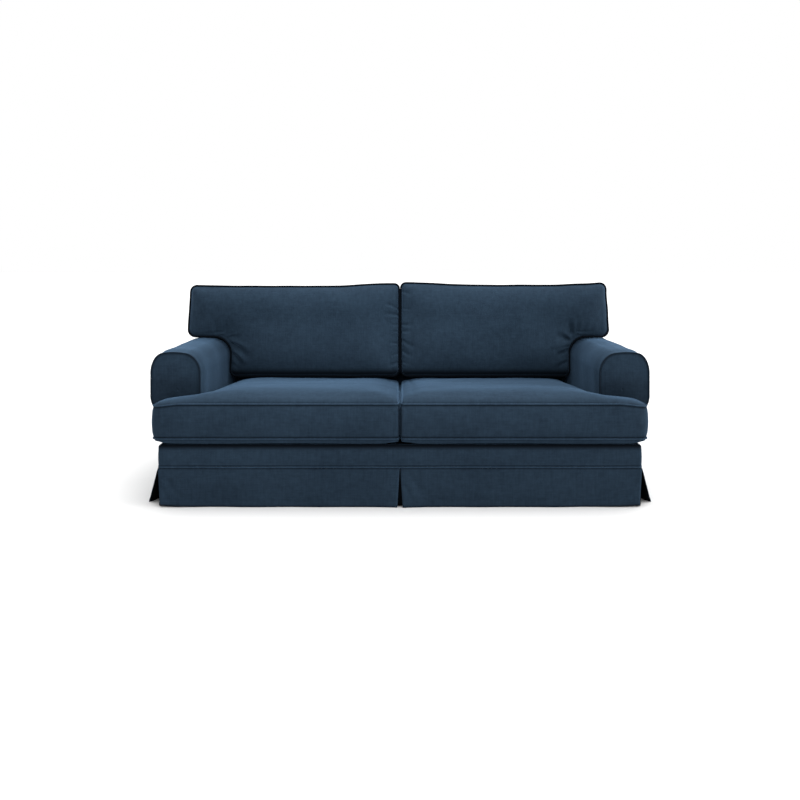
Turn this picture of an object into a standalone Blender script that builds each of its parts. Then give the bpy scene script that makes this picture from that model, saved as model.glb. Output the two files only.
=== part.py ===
# Slipcover set for a two-cushion sofa with rounded arms: a hollow body cover with a kick-pleated
# skirt, two seat cushions that reach out in front of the arms, and two back cushions whose ears
# lie over them. X runs to the right of someone facing the sofa, Y from its front to its back,
# and Z up from the floor. Everything is in metres.
import math

import bmesh
import bpy
from mathutils import Vector
from mathutils.geometry import intersect_point_line

# The cloth, how closely pieces lie together, and the turn from which an edge is kept sharp.
CLOTH = 0.0025
GAP = 0.0003
SHARP_DEG = 50

# The base and the skirt.
BASE_HALF_WIDTH = 1.004
FRONT_Y = -0.475
BACK_Y = 0.4816
BASE_CORNER_R = 0.014
BASE_CORNER_STEPS = 4
SKIRT_SEAM_Z = 0.163
SKIRT_FLARE = 0.006
DECK_Z = 0.2545
DECK_EDGE_R = 0.010
DECK_EDGE_STEPS = 3
BAND_TURN = 0.012

# The arms: a pillow-topped roll that overhangs the flat outside panel.
ARM_SETBACK = 0.160
ARM_INNER_X = 0.874
ARM_OUTER_X = 1.085
ARM_TOP_Z = 0.613
ROLL_BOTTOM_Z = 0.360
ROLL_INNER_X = 0.950
ROLL_OUTER_X = 1.030
ROLL_SIDE_Z = 0.527
ROLL_UNDER_X = 1.034
ROLL_UNDER_Z = 0.430
ROLL_STEPS = 7
ROLL_UNDER_STEPS = 6
ARM_SWELL = 0.006
ARM_SWELL_Z = 0.40

# The back of the body cover, which leans back in front and is upright behind.
BACK_HALF_WIDTH = 0.985
BACK_TOP_Z = 0.815
BACK_CORNER_R = 0.040
BACK_CORNER_STEPS = 5
BACK_FOOT_Y = 0.330
BACK_LEAN = 0.085

# The cushions.
SEAT_TOP_SEAM_Z = 0.422
SEAT_LOW_SEAM_Z = 0.283
SEAT_REAR_DIP = 0.037
SEAT_CROWN = 0.043
SEAT_REST_Z = 0.425
BACK_SEAM_Z = 0.4335
BACK_CUSHION_TOP_Z = 0.886
BACK_CUSHION_DEPTH = 0.158
BACK_CUSHION_CROWN = 0.050
SEAT_BULGE = 0.0085
BACK_BULGE = 0.0050
BACK_TOP_SLOPE = 0.018
BOXING_RINGS = 3
SHOULDER_ROUND = 2.2
SHOULDER_RISE = 0.75

# Radii of the welt cords.
SEAT_WELT_R = 0.0025
BACK_WELT_R = 0.0045
ARM_WELT_R = 0.0030
SKIRT_WELT_R = 0.0030

NAVY = (0.030, 0.052, 0.085, 1.0)
DARK_NAVY = (0.006, 0.010, 0.018, 1.0)

ARM_FRONT_Y = FRONT_Y + ARM_SETBACK
SKIRT_TOP_Z = SKIRT_SEAM_Z - SKIRT_WELT_R - GAP
PANEL_FOOT_Z = SKIRT_SEAM_Z + SKIRT_WELT_R + GAP
PANEL_BACK_Y = BACK_Y - CLOTH - GAP

# Points in the rooms that the cloth encloses, from which its outer side faces away.
UNDER_DECK = Vector((0.0, 0.0, 0.1))
BEHIND_BACK = Vector((0.0, 0.42, 0.5))
ARM_MIDDLE = Vector((0.98, 0.1, 0.48))


def start_scene():
    for old in list(bpy.data.objects):
        bpy.data.objects.remove(old)
    cover = bpy.data.collections.new("sofa_slipcover")
    bpy.context.scene.collection.children.link(cover)
    return cover


def fabric(name, colour, roughness):
    material = bpy.data.materials.new(name)
    material.use_nodes = True
    shader = material.node_tree.nodes["Principled BSDF"]
    shader.inputs["Base Color"].default_value = colour
    shader.inputs["Roughness"].default_value = roughness
    shader.inputs["Metallic"].default_value = 0.0
    return material


def place(name, data, material):
    piece = bpy.data.objects.new(name, data)
    data.materials.append(material)
    COVER.objects.link(piece)
    return piece


def smooth_step(value, low, high):
    t = min(max((value - low) / (high - low), 0.0), 1.0)
    return t * t * (3.0 - 2.0 * t)


def inside_back_y(z):
    """Front face of the leaning inside back at height z."""
    return BACK_FOOT_Y + BACK_LEAN * (z - DECK_Z)


def arc(centre, radii, start_deg, end_deg, steps):
    """Points of an ellipse stretch, both ends included."""
    points = []
    for step in range(steps + 1):
        angle = math.radians(start_deg + (end_deg - start_deg) * step / steps)
        points.append((centre[0] + radii[0] * math.cos(angle), centre[1] + radii[1] * math.sin(angle)))
    return points


# The right arm's cross-section, from the top of its straight inner side, over the roll and in
# under it. Each bend is an ellipse quarter with its own centre and radii.
ARM_BENDS = {
    "inner_top": {
        "centre": (ROLL_INNER_X, ROLL_SIDE_Z),
        "radii": (ROLL_INNER_X - ARM_INNER_X, ARM_TOP_Z - ROLL_SIDE_Z),
        "steps": ROLL_STEPS,
    },
    "outer_top": {
        "centre": (ROLL_OUTER_X, ROLL_SIDE_Z),
        "radii": (ARM_OUTER_X - ROLL_OUTER_X, ARM_TOP_Z - ROLL_SIDE_Z),
        "steps": ROLL_STEPS,
    },
    "outer_low": {
        "centre": (ROLL_UNDER_X, ROLL_UNDER_Z),
        "radii": (ARM_OUTER_X - ROLL_UNDER_X, ROLL_UNDER_Z - ROLL_BOTTOM_Z),
        "steps": ROLL_UNDER_STEPS,
    },
}
ARM_SPLIT_X = BACK_HALF_WIDTH - CLOTH


def arm_bend(name, start_deg, end_deg, swell):
    bend = ARM_BENDS[name]
    radii = (bend["radii"][0] + swell, bend["radii"][1] + swell)
    return arc(bend["centre"], radii, start_deg, end_deg, bend["steps"])


def arm_roll(swell):
    """Outer surface of the roll from its inner side to the point under it where it ends."""
    inner = arm_bend("inner_top", 180, 90, swell)
    outer = arm_bend("outer_top", 90, 0, swell)
    low = arm_bend("outer_low", 0, -90, swell)
    return [*inner, (ARM_SPLIT_X, ARM_TOP_Z + swell), *outer, *low]


def filled_outline(name, outline):
    """A flat closed curve, filled and given the cloth's thickness."""
    curve = bpy.data.curves.new(name, "CURVE")
    curve.dimensions = "2D"
    curve.fill_mode = "BOTH"
    curve.extrude = CLOTH / 2
    spline = curve.splines.new("POLY")
    spline.points.add(len(outline) - 1)
    for point, (across, up) in zip(spline.points, outline):
        point.co = (across, up, 0.0, 1.0)
    spline.use_cyclic_u = True
    return curve


def upright_panel(name, outline, face_y, lean):
    """A flat panel cut to an outline in X and Z, its front at face_y and leaning back by lean."""
    drawn = bpy.data.objects.new(f"{name}_outline", filled_outline(name, outline))
    bpy.context.scene.collection.objects.link(drawn)
    graph = bpy.context.evaluated_depsgraph_get()
    mesh = bpy.data.meshes.new_from_object(drawn.evaluated_get(graph))
    bpy.data.objects.remove(drawn)
    shape = bmesh.new()
    shape.from_mesh(mesh)
    bmesh.ops.remove_doubles(shape, verts=shape.verts, dist=CLOTH / 100)
    for vert in shape.verts:
        x, height, thick = vert.co
        vert.co = (x, face_y + CLOTH / 2 - thick + lean * (height - DECK_Z), height)
    return finish(name, shape, NAVY_CLOTH)


def finish(name, shape, material):
    """Turns a bmesh into a piece of the cover, smooth except at its real edges."""
    bmesh.ops.recalc_face_normals(shape, faces=shape.faces)
    mesh = bpy.data.meshes.new(name)
    shape.to_mesh(mesh)
    shape.free()
    mesh.shade_smooth()
    mesh.set_sharp_from_angle(angle=math.radians(SHARP_DEG))
    return place(name, mesh, material)


def box_panel(name, size, centre):
    """A flat rectangular panel."""
    shape = bmesh.new()
    bmesh.ops.create_cube(shape, size=1.0)
    bmesh.ops.scale(shape, vec=size, verts=shape.verts)
    panel = finish(name, shape, NAVY_CLOTH)
    panel.location = centre
    return panel


def grid(across, along):
    """A flat quad grid in a bmesh, with its vertices in a dictionary keyed by column and row."""
    shape = bmesh.new()
    bmesh.ops.create_grid(shape, x_segments=across, y_segments=along, size=0.5)
    cells = {}
    for vert in shape.verts:
        key = (round((vert.co.x + 0.5) * across), round((vert.co.y + 0.5) * along))
        cells[key] = vert
    return shape, cells


def sheet(name, shape, inside):
    """An open surface, turned to face away from the point inside and thickened inwards."""
    shape.normal_update()
    bmesh.ops.recalc_face_normals(shape, faces=shape.faces)
    towards = sum((inside - face.calc_center_median()).dot(face.normal) for face in shape.faces)
    if towards > 0:
        bmesh.ops.reverse_faces(shape, faces=shape.faces)
    mesh = bpy.data.meshes.new(name)
    shape.to_mesh(mesh)
    shape.free()
    mesh.shade_smooth()
    mesh.set_sharp_from_angle(angle=math.radians(SHARP_DEG))
    piece = place(name, mesh, NAVY_CLOTH)
    thicken = piece.modifiers.new("cloth", "SOLIDIFY")
    thicken.thickness = CLOTH
    thicken.offset = -1.0
    thicken.use_even_offset = True
    return piece


def cord(name, points, radius, closed, material):
    """A welt cord along a list of points."""
    curve = bpy.data.curves.new(name, "CURVE")
    curve.dimensions = "3D"
    curve.twist_mode = "Z_UP"
    curve.bevel_depth = radius
    curve.bevel_resolution = 1
    curve.use_fill_caps = not closed
    spline = curve.splines.new("POLY")
    spline.points.add(len(points) - 1)
    for point, position in zip(spline.points, points):
        point.co = (*position, 1.0)
    spline.use_cyclic_u = closed
    return place(name, curve, material)


def mirrored(points):
    """The left-hand half of an outline, from its right-hand half."""
    return [(-x, z) for x, z in reversed(points)]


def base_corner(side, end_y, outward_y):
    """Plan points round a vertical corner of the base, with the way each one faces."""
    cx = side * (BASE_HALF_WIDTH - BASE_CORNER_R)
    cy = end_y - outward_y * BASE_CORNER_R
    turn = []
    for step in range(BASE_CORNER_STEPS + 1):
        angle = math.pi / 2 * step / BASE_CORNER_STEPS
        facing = Vector((side * math.cos(angle), outward_y * math.sin(angle), 0.0))
        turn.append((Vector((cx, cy, 0.0)) + facing * BASE_CORNER_R, facing))
    return turn


def deck_panel():
    """The platform under the seat cushions, wider in front of the arms than between them."""
    inset = BAND_TURN + GAP
    neck_x = ARM_INNER_X - ARM_SWELL - GAP
    wide_end_y = ARM_FRONT_Y + CLOTH
    rear_y = inside_back_y(DECK_Z - CLOTH) - GAP
    corner = [point - facing * inset for point, facing in reversed(base_corner(1, FRONT_Y, -1))]
    right_half = [(point.x, point.y) for point in corner]
    right_half += [(BASE_HALF_WIDTH - inset, wide_end_y), (neck_x, wide_end_y), (neck_x, rear_y)]
    outline = right_half + mirrored(right_half)
    deck = place("deck_panel", filled_outline("deck_panel", outline), NAVY_CLOTH)
    deck.location.z = DECK_Z - CLOTH / 2
    return deck


def front_band():
    """The border under the cushions, with its returns back to the arms and a rolled top edge."""
    end_y = ARM_FRONT_Y + CLOTH
    right = [(Vector((BASE_HALF_WIDTH, end_y, 0.0)), Vector((1.0, 0.0, 0.0)))]
    right += base_corner(1, FRONT_Y, -1)
    left = [(Vector((-p.x, p.y, 0.0)), Vector((-n.x, n.y, 0.0))) for p, n in reversed(right)]
    path = right + left
    centre = (-DECK_EDGE_R, DECK_Z - DECK_EDGE_R)
    roll = arc(centre, (DECK_EDGE_R, DECK_EDGE_R), 0, 90, DECK_EDGE_STEPS)
    section = [(0.0, PANEL_FOOT_Z), *roll, (-BAND_TURN, DECK_Z)]
    shape, cells = grid(len(path) - 1, len(section) - 1)
    for (i, j), vert in cells.items():
        point, facing = path[i]
        out, z = section[j]
        vert.co = point + facing * out + Vector((0.0, 0.0, z))
    return sheet("front_band", shape, UNDER_DECK)


def arm_front(name, side):
    """The face of an arm, cut to the roll's outline above and to the base below it."""
    foot_z = DECK_Z + GAP
    outer_side = [(BASE_HALF_WIDTH, ROLL_BOTTOM_Z), (BASE_HALF_WIDTH, foot_z)]
    outline = [(ARM_INNER_X, foot_z), *arm_roll(0.0), *outer_side]
    return upright_panel(name, [(side * x, z) for x, z in outline], ARM_FRONT_Y, 0.0)


def arm_welt(name, side):
    """The cord round the arm's face, from the deck, over the roll and in under it."""
    reach = (ARM_WELT_R + GAP) * math.sqrt(0.5)
    foot = (ARM_INNER_X, DECK_Z + ARM_WELT_R + 2 * GAP)
    tail = (BASE_HALF_WIDTH + ARM_WELT_R, ROLL_BOTTOM_Z)
    edge = [foot, *arm_roll(0.0), tail]
    points = []
    for i, (x, z) in enumerate(edge):
        before = Vector((*edge[max(i - 1, 0)], 0.0))
        after = Vector((*edge[min(i + 1, len(edge) - 1)], 0.0))
        along = after - before
        facing = Vector((-along.y, along.x)).normalized()
        if facing.dot(Vector((x - ARM_MIDDLE.x, z - ARM_MIDDLE.z))) < 0:
            facing = -facing
        points.append((side * (x + facing.x * reach), ARM_FRONT_Y - reach, z + facing.y * reach))
    return cord(name, points, ARM_WELT_R, False, DARK_WELT)


# How far back along the arm each cut across its wrap lies, and its share of the full swell.
WRAP_CUTS = (
    {"along": 0.00, "swell": 0.0},
    {"along": 0.04, "swell": 0.6},
    {"along": 0.12, "swell": 1.0},
    {"along": 0.55, "swell": 1.0},
    {"along": 1.00, "swell": 1.0},
)


def arm_section(swell):
    """The wrap's cross-section from the deck up, over the roll and in to the outside panel."""
    foot = [(ARM_INNER_X - swell, DECK_Z - CLOTH), (ARM_INNER_X - swell, ARM_SWELL_Z)]
    return [*foot, *arm_roll(swell), (BASE_HALF_WIDTH + GAP, ROLL_BOTTOM_Z - swell)]


def arm_wrap(name, side):
    """One length of cloth up the inside of the arm, over its top and round under the roll.
    Behind the inside back only the part outside the back's side carries on to the rear."""
    start_y = ARM_FRONT_Y + CLOTH + GAP
    last = len(WRAP_CUTS)
    split = arm_section(ARM_SWELL).index((ARM_SPLIT_X, ARM_TOP_Z + ARM_SWELL))
    shape, cells = grid(last, len(arm_section(0.0)) - 1)
    for (i, j), vert in cells.items():
        cut = WRAP_CUTS[min(i, last - 1)]
        x, z = arm_section(ARM_SWELL * cut["swell"])[j]
        end_y = inside_back_y(z) + CLOTH
        y = start_y + (end_y - start_y) * cut["along"]
        vert.co = (side * x, PANEL_BACK_Y if i == last else y, z)
    rear = {cells[last, j] for j in range(split)}
    behind = [face for face in shape.faces if rear.intersection(face.verts)]
    bmesh.ops.delete(shape, geom=behind, context="FACES")
    return sheet(name, shape, Vector((side * ARM_MIDDLE.x, ARM_MIDDLE.y, ARM_MIDDLE.z)))


def outside_arm(name, side):
    """The flat panel below the roll, down to the skirt."""
    depth = PANEL_BACK_Y - (ARM_FRONT_Y + CLOTH + GAP)
    height = ROLL_BOTTOM_Z + CLOTH - ARM_SWELL - PANEL_FOOT_Z
    centre = (side * (BASE_HALF_WIDTH - CLOTH / 2), PANEL_BACK_Y - depth / 2, PANEL_FOOT_Z + height / 2)
    return box_panel(name, (CLOTH, depth, height), centre)


def back_rise():
    """The edge of the back from the arm's top up round its corner, right-hand side."""
    centre = (BACK_HALF_WIDTH - BACK_CORNER_R, BACK_TOP_Z - BACK_CORNER_R)
    return arc(centre, (BACK_CORNER_R, BACK_CORNER_R), 0, 90, BACK_CORNER_STEPS)


def inside_back():
    """The leaning front of the back: between the arms below, and out over them above."""
    swell = ARM_SWELL + GAP
    foot = (ARM_INNER_X - swell, DECK_Z - CLOTH)
    over_arm = arm_bend("inner_top", 180, 90, swell)
    right_half = [foot, *over_arm, (BACK_HALF_WIDTH, ARM_TOP_Z + swell), *back_rise()]
    outline = right_half + mirrored(right_half)
    return upright_panel("inside_back", outline, BACK_FOOT_Y, BACK_LEAN)


def outside_back():
    """The upright rear panel, which also closes the rear ends of both arms."""
    right_half = [(BASE_HALF_WIDTH, PANEL_FOOT_Z), (BASE_HALF_WIDTH, ROLL_BOTTOM_Z - ARM_SWELL)]
    right_half += arm_bend("outer_low", -90, 0, ARM_SWELL)
    right_half += arm_bend("outer_top", 0, 90, ARM_SWELL)
    right_half += [(BACK_HALF_WIDTH, ARM_TOP_Z + ARM_SWELL), *back_rise()]
    outline = right_half + mirrored(right_half)
    return upright_panel("outside_back", outline, BACK_Y - CLOTH, 0.0)


def back_boxing():
    """The strip between the two back panels, up one side, over the top and down the other."""
    right_half = [(BACK_HALF_WIDTH, ARM_TOP_Z + ARM_SWELL + 2 * GAP), *back_rise()]
    path = right_half + mirrored(right_half)
    shape, cells = grid(len(path) - 1, 1)
    for (i, j), vert in cells.items():
        x, z = path[i]
        front_y = inside_back_y(z) + CLOTH + GAP
        vert.co = (x, PANEL_BACK_Y if j else front_y, z)
    return sheet("back_boxing", shape, BEHIND_BACK)


# The skirt's panels. Each lies along its stretch of the base: where it starts and ends, how far
# its hem swings out, leans in and rises at either end, and the turn that faces it outwards.
SKIRT_PANELS = [
    {"name": "skirt_front_left", "start": -1.002, "end": -0.0012, "swing": (0.000, 0.004),
     "lean": (0.010, -0.010), "rise": (0.008, 0.000), "turn_deg": 0, "seam": -FRONT_Y},
    {"name": "skirt_front_right", "start": 0.0012, "end": 1.002, "swing": (0.006, 0.000),
     "lean": (0.010, -0.010), "rise": (0.000, 0.008), "turn_deg": 0, "seam": -FRONT_Y},
    {"name": "skirt_side_right", "start": -0.470, "end": 0.470, "swing": (0.054, 0.008),
     "lean": (0.058, -0.008), "rise": (0.000, 0.004), "turn_deg": 90, "seam": BASE_HALF_WIDTH},
    {"name": "skirt_side_left", "start": -0.470, "end": 0.470, "swing": (0.008, 0.054),
     "lean": (0.008, -0.058), "rise": (0.004, 0.000), "turn_deg": -90, "seam": BASE_HALF_WIDTH},
    {"name": "skirt_back", "start": -1.002, "end": 1.002, "swing": (0.000, 0.000),
     "lean": (0.010, -0.010), "rise": (0.006, 0.006), "turn_deg": 180, "seam": BACK_Y},
]
SWING_REACH = 0.100
RIPPLE = 0.0035
RIPPLE_LENGTH = 0.31
SKIRT_COLUMN = 0.070
SKIRT_ROWS = 4
CROWDING = 1 / 16


def skirt_panel(name, start, end, swing, lean, rise, turn_deg, seam):
    """A hanging panel, flared to its hem with soft ripples and swung out at its free ends.
    Its columns crowd together towards those ends."""
    shape, _ = grid(round((end - start) / SKIRT_COLUMN), SKIRT_ROWS)
    pieces = bmesh.ops.extrude_face_region(shape, geom=shape.faces[:])
    inner = {item for item in pieces["geom"] if isinstance(item, bmesh.types.BMVert)}
    for vert in shape.verts:
        share = vert.co.x + 0.5
        share -= math.sin(2 * math.pi * share) * CROWDING
        drop = 0.5 - vert.co.y
        along = start + (end - start) * share
        near_start = math.exp((start - along) / SWING_REACH) * drop
        near_end = math.exp((along - end) / SWING_REACH) * drop
        out = SKIRT_FLARE * drop + swing[0] * near_start + swing[1] * near_end
        out -= RIPPLE * drop * (0.5 - 0.5 * math.cos(2 * math.pi * along / RIPPLE_LENGTH))
        slide = lean[0] * near_start + lean[1] * near_end
        lift = rise[0] * near_start + rise[1] * near_end
        depth = CLOTH if vert in inner else 0.0
        vert.co = (along + slide, depth - out, SKIRT_TOP_Z * (1.0 - drop) + lift)
    panel = finish(name, shape, NAVY_CLOTH)
    turn = math.radians(turn_deg)
    panel.rotation_euler.z = turn
    panel.location = (seam * math.sin(turn), -seam * math.cos(turn), 0.0)
    return panel


PLEAT_LEG = 0.095
PLEAT_INSET = CLOTH + GAP
PLEAT_HEM_Z = 0.003


def corner_pleat(name, side, end_y, outward_y):
    """The insert behind a corner of the skirt, bent round it and sewn in at the top."""
    turn = base_corner(side, end_y, outward_y)
    corner = [(point - facing * PLEAT_INSET, facing) for point, facing in turn]
    first, last = corner[0], corner[-1]
    side_end = (first[0] - Vector((0.0, outward_y * PLEAT_LEG, 0.0)), first[1])
    front_end = (last[0] - Vector((side * PLEAT_LEG, 0.0, 0.0)), last[1])
    path = [side_end, *corner, front_end]
    shape, cells = grid(len(path) - 1, 1)
    for (i, j), vert in cells.items():
        vert.co = path[i][0] + Vector((0.0, 0.0, PLEAT_HEM_Z if j else SKIRT_TOP_Z))
    return sheet(name, shape, UNDER_DECK)


def centre_pleat():
    """The flat insert behind the opening at the middle of the front."""
    height = SKIRT_TOP_Z - PLEAT_HEM_Z
    centre = (0.0, FRONT_Y + PLEAT_INSET + CLOTH / 2, PLEAT_HEM_Z + height / 2)
    return box_panel("pleat_centre", (2 * PLEAT_LEG, CLOTH, height), centre)


def skirt_welt():
    """The cord let into the seam between the body and its skirt, all the way round."""
    points = []
    for side, end_y, outward_y in ((1, FRONT_Y, -1), (-1, FRONT_Y, -1), (-1, BACK_Y, 1), (1, BACK_Y, 1)):
        turn = [(p.x, p.y, SKIRT_SEAM_Z) for p, _ in base_corner(side, end_y, outward_y)]
        points += turn if side * outward_y < 0 else list(reversed(turn))
    return cord("skirt_welt", points, SKIRT_WELT_R, True, NAVY_CLOTH)


def rounded(point, at, points, radius):
    """Moves a plan point so that the square corner at this place becomes an arc.
    Past the arc the shift dies out over one more radius."""
    across = radius - (at[0] - point[0]) * points[0]
    along = radius - (at[1] - point[1]) * points[1]
    if across <= 0 or along <= 0:
        return point
    far = max(across, along)
    pull = far / math.hypot(across, along)
    if far > radius:
        pull += (1.0 - pull) * smooth_step(far, radius, 2 * radius)
    shift = pull - 1.0
    return (point[0] + points[0] * across * shift, point[1] + points[1] * along * shift)


def lying_outline(shape):
    """The boundary vertices of a flat grid in order, each with the way it faces outwards."""
    rim = {}
    for edge in shape.edges:
        if len(edge.link_faces) == 1:
            for vert in edge.verts:
                rim.setdefault(vert, []).append(edge)
    start = next(iter(rim))
    loop, edge = [start], rim[start][0]
    while True:
        vert = edge.other_vert(loop[-1])
        if vert is start:
            break
        loop.append(vert)
        edge = next(other for other in rim[vert] if other is not edge)
    area = sum(a.co.x * b.co.y - b.co.x * a.co.y for a, b in zip(loop, loop[1:] + loop[:1]))
    if area < 0:
        loop.reverse()
    facing = []
    for i, vert in enumerate(loop):
        along = loop[(i + 1) % len(loop)].co - loop[i - 1].co
        facing.append(Vector((along.y, -along.x, 0.0)).normalized())
    return loop, facing


def cushion_blank(columns, rows, is_notch, corners):
    """The flat plan of an L-shaped cushion as a grid with rounded corners."""
    shape, cells = grid(len(columns) - 1, len(rows) - 1)
    for (i, j), vert in cells.items():
        vert.co = (columns[i], rows[j], 0.0)
    cut = [face for face in shape.faces if is_notch(face.calc_center_median())]
    bmesh.ops.delete(shape, geom=cut, context="FACES")
    for vert in shape.verts:
        spot = (vert.co.x, vert.co.y)
        for corner in corners:
            spot = rounded(spot, **corner)
        vert.co = (*spot, 0.0)
    return shape


def room_inside(spot, rim):
    """How far a plan point lies inside the outline."""
    nearest = 10.0
    for start, end in zip(rim, rim[1:] + rim[:1]):
        foot, share = intersect_point_line(spot, start, end)
        if share < 0.0:
            foot = start
        if share > 1.0:
            foot = end
        nearest = min(nearest, (spot - foot.to_2d()).length)
    return nearest


def cushion_solid(shape, low, high, bulge, to_world):
    """Closes a plan between its lower and upper faces, bulging the boxing between the seams.
    Returns the solid and the seam points of each face, each with its outward direction."""
    loop, facing = lying_outline(shape)
    rim = [vert.co.to_2d() for vert in loop]
    outward = {(round(spot.x, 6), round(spot.y, 6)): way for spot, way in zip(rim, facing)}
    made = bmesh.ops.extrude_face_region(shape, geom=shape.faces[:])
    lifted = [item for item in made["geom"] if isinstance(item, bmesh.types.BMVert)]
    for vert in lifted:
        vert.co.z = 1.0
    posts = [edge for edge in shape.edges if abs(edge.verts[0].co.z - edge.verts[1].co.z) > 0.5]
    bmesh.ops.subdivide_edges(shape, edges=posts, cuts=BOXING_RINGS)
    for vert in shape.verts:
        x, y, share = vert.co
        way = outward.get((round(x, 6), round(y, 6)))
        room = 0.0 if way else room_inside(vert.co.to_2d(), rim)
        swell = (way or Vector()) * bulge * math.sin(math.pi * share)
        level = low(x, y, room) + (high(x, y, room) - low(x, y, room)) * share
        vert.co = to_world(x + swell.x, y + swell.y, level)
    seams = {}
    for key, level, lift in (("low", low, -1.0), ("high", high, 1.0)):
        seams[key] = []
        for spot, way in zip(rim, facing):
            seams[key].append((spot.x, spot.y, level(*spot, 0.0), way.x, way.y, lift))
    return shape, seams


def welt_round(name, seam, radius, to_world, material):
    """A cord lying against a cushion's seam, clear of both faces that meet in it."""
    reach = (radius + GAP) * math.sqrt(0.5)
    points = [to_world(x + wx * reach, y + wy * reach, z + lift * reach) for x, y, z, wx, wy, lift in seam]
    return cord(name, points, radius, True, material)


def shoulder(room, width):
    """Rises from 0 at a seam to 1 a width inside it, steeply at first like stuffed cloth."""
    t = min(room / width, 1.0)
    return (1.0 - (1.0 - t) ** SHOULDER_ROUND) ** SHOULDER_RISE


# The seat cushions: half-widths, the ends of their ears, and how the top falls to the rear.
SEAT_FRONT_Y = FRONT_Y - 0.004
SEAT_SIDE_X = 0.856
SEAT_EAR_X = 1.027
SEAT_EAR_BACK_Y = ARM_FRONT_Y - 0.012
SEAT_REAR_Y = 0.318
SEAT_CENTRE_X = 0.009
SEAT_REST_Y = 0.125
SEAT_SLOPE_Y = FRONT_Y + 0.20
SEAT_EAR_DROOP = 0.010
SEAT_DROOP_X = 0.90
SEAT_EAR_CROWN = 0.45
SEAT_EAR_FADE = (0.80, 0.92)
SEAT_SHOULDER = 0.110
SEAT_UNDER_SHOULDER = 0.060

# Lines across and along the seat cushion's plan, closer together near its seams.
SEAT_COLUMNS = (SEAT_CENTRE_X, 0.024, 0.055, 0.10, 0.20, 0.36, 0.52, 0.66, 0.76, 0.822, SEAT_SIDE_X,
                0.92, 0.965, 1.003, SEAT_EAR_X)
SEAT_ROWS = (SEAT_FRONT_Y, -0.462, -0.435, -0.39, -0.353, SEAT_EAR_BACK_Y, -0.25, -0.14, -0.02, 0.06,
             SEAT_REST_Y, 0.21, 0.28, SEAT_REAR_Y)
# Each rounded corner: where it stands, the way it points and its radius.
SEAT_CORNERS = (
    {"at": (SEAT_CENTRE_X, SEAT_FRONT_Y), "points": (-1, -1), "radius": 0.020},
    {"at": (SEAT_EAR_X, SEAT_FRONT_Y), "points": (1, -1), "radius": 0.028},
    {"at": (SEAT_EAR_X, SEAT_EAR_BACK_Y), "points": (1, 1), "radius": 0.035},
    {"at": (SEAT_CENTRE_X, SEAT_REAR_Y), "points": (-1, 1), "radius": 0.030},
    {"at": (SEAT_SIDE_X, SEAT_REAR_Y), "points": (1, 1), "radius": 0.030},
)


def seat_seam_z(x, y):
    dip = SEAT_REAR_DIP * smooth_step(y, SEAT_SLOPE_Y, SEAT_REST_Y)
    droop = SEAT_EAR_DROOP * smooth_step(x, SEAT_DROOP_X, SEAT_EAR_X)
    return SEAT_TOP_SEAM_Z - dip - droop


def seat_top_z(x, y, room):
    under_back = SEAT_REST_Z - SEAT_TOP_SEAM_Z + SEAT_REAR_DIP
    crown = SEAT_CROWN + (under_back - SEAT_CROWN) * smooth_step(y, SEAT_SLOPE_Y, SEAT_REST_Y)
    crown *= 1.0 - (1.0 - SEAT_EAR_CROWN) * smooth_step(x, *SEAT_EAR_FADE)
    return seat_seam_z(x, y) + crown * shoulder(room, SEAT_SHOULDER)


def seat_low_z(x, y, room):
    rise = SEAT_LOW_SEAM_Z - DECK_Z - GAP
    return SEAT_LOW_SEAM_Z - rise * shoulder(room, SEAT_UNDER_SHOULDER)


def seat_cushion(side_name, side):
    """One seat cushion, sitting on the deck, with a welt round its upper and its lower seam."""

    def in_notch(centre):
        return centre.x > SEAT_SIDE_X and centre.y > SEAT_EAR_BACK_Y

    def to_world(x, y, z):
        return Vector((side * x, y, z))

    plan = cushion_blank(SEAT_COLUMNS, SEAT_ROWS, in_notch, SEAT_CORNERS)
    solid, seams = cushion_solid(plan, seat_low_z, seat_top_z, SEAT_BULGE, to_world)
    finish(f"seat_cushion_{side_name}", solid, NAVY_CLOTH)
    for key, seam in seams.items():
        welt_round(f"seat_welt_{key}_{side_name}", seam, SEAT_WELT_R, to_world, NAVY_CLOTH)


# The back cushions: half-widths, the underside of their ears, and how their tops rise.
BACK_CENTRE_X = 0.011
BACK_SIDE_X = 0.856
EAR_CLEARANCE = 0.0125
EAR_SEAM_Z = ARM_TOP_Z + ARM_SWELL + EAR_CLEARANCE
BACK_REST = 0.0095
BACK_CENTRE_RISE = 0.013
BACK_RISE_FADE = (0.03, 0.40)
BACK_EAR_RISE_X = 0.75
BACK_SHOULDER = 0.160
BACK_REAR_SHOULDER = 0.060
NOTCH_R = 0.085

# The two back cushions differ a little in how far their ears reach and how their tops sag.
BACK_CUSHIONS = {
    "left": {"side": -1, "ear_x": 1.072, "corner_rise": 0.004, "sag": 0.006},
    "right": {"side": 1, "ear_x": 1.052, "corner_rise": 0.011, "sag": 0.001},
}
BACK_ROWS = (BACK_SEAM_Z, 0.455, 0.50, 0.545, 0.585, EAR_SEAM_Z, 0.675, 0.74, 0.80, 0.845, 0.868,
             BACK_CUSHION_TOP_Z)


BACK_COLUMNS = (BACK_CENTRE_X, 0.030, 0.065, 0.14, 0.28, 0.42, 0.56, 0.70, 0.80, BACK_SIDE_X)
EAR_SHARES = (0.18, 0.35, 0.52, 0.71, 0.89, 1.0)


def back_columns(ear_x):
    """Lines across the back cushion's plan, the last few stretching with its ear."""
    return (*BACK_COLUMNS, *(BACK_SIDE_X + (ear_x - BACK_SIDE_X) * share for share in EAR_SHARES))


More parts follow.
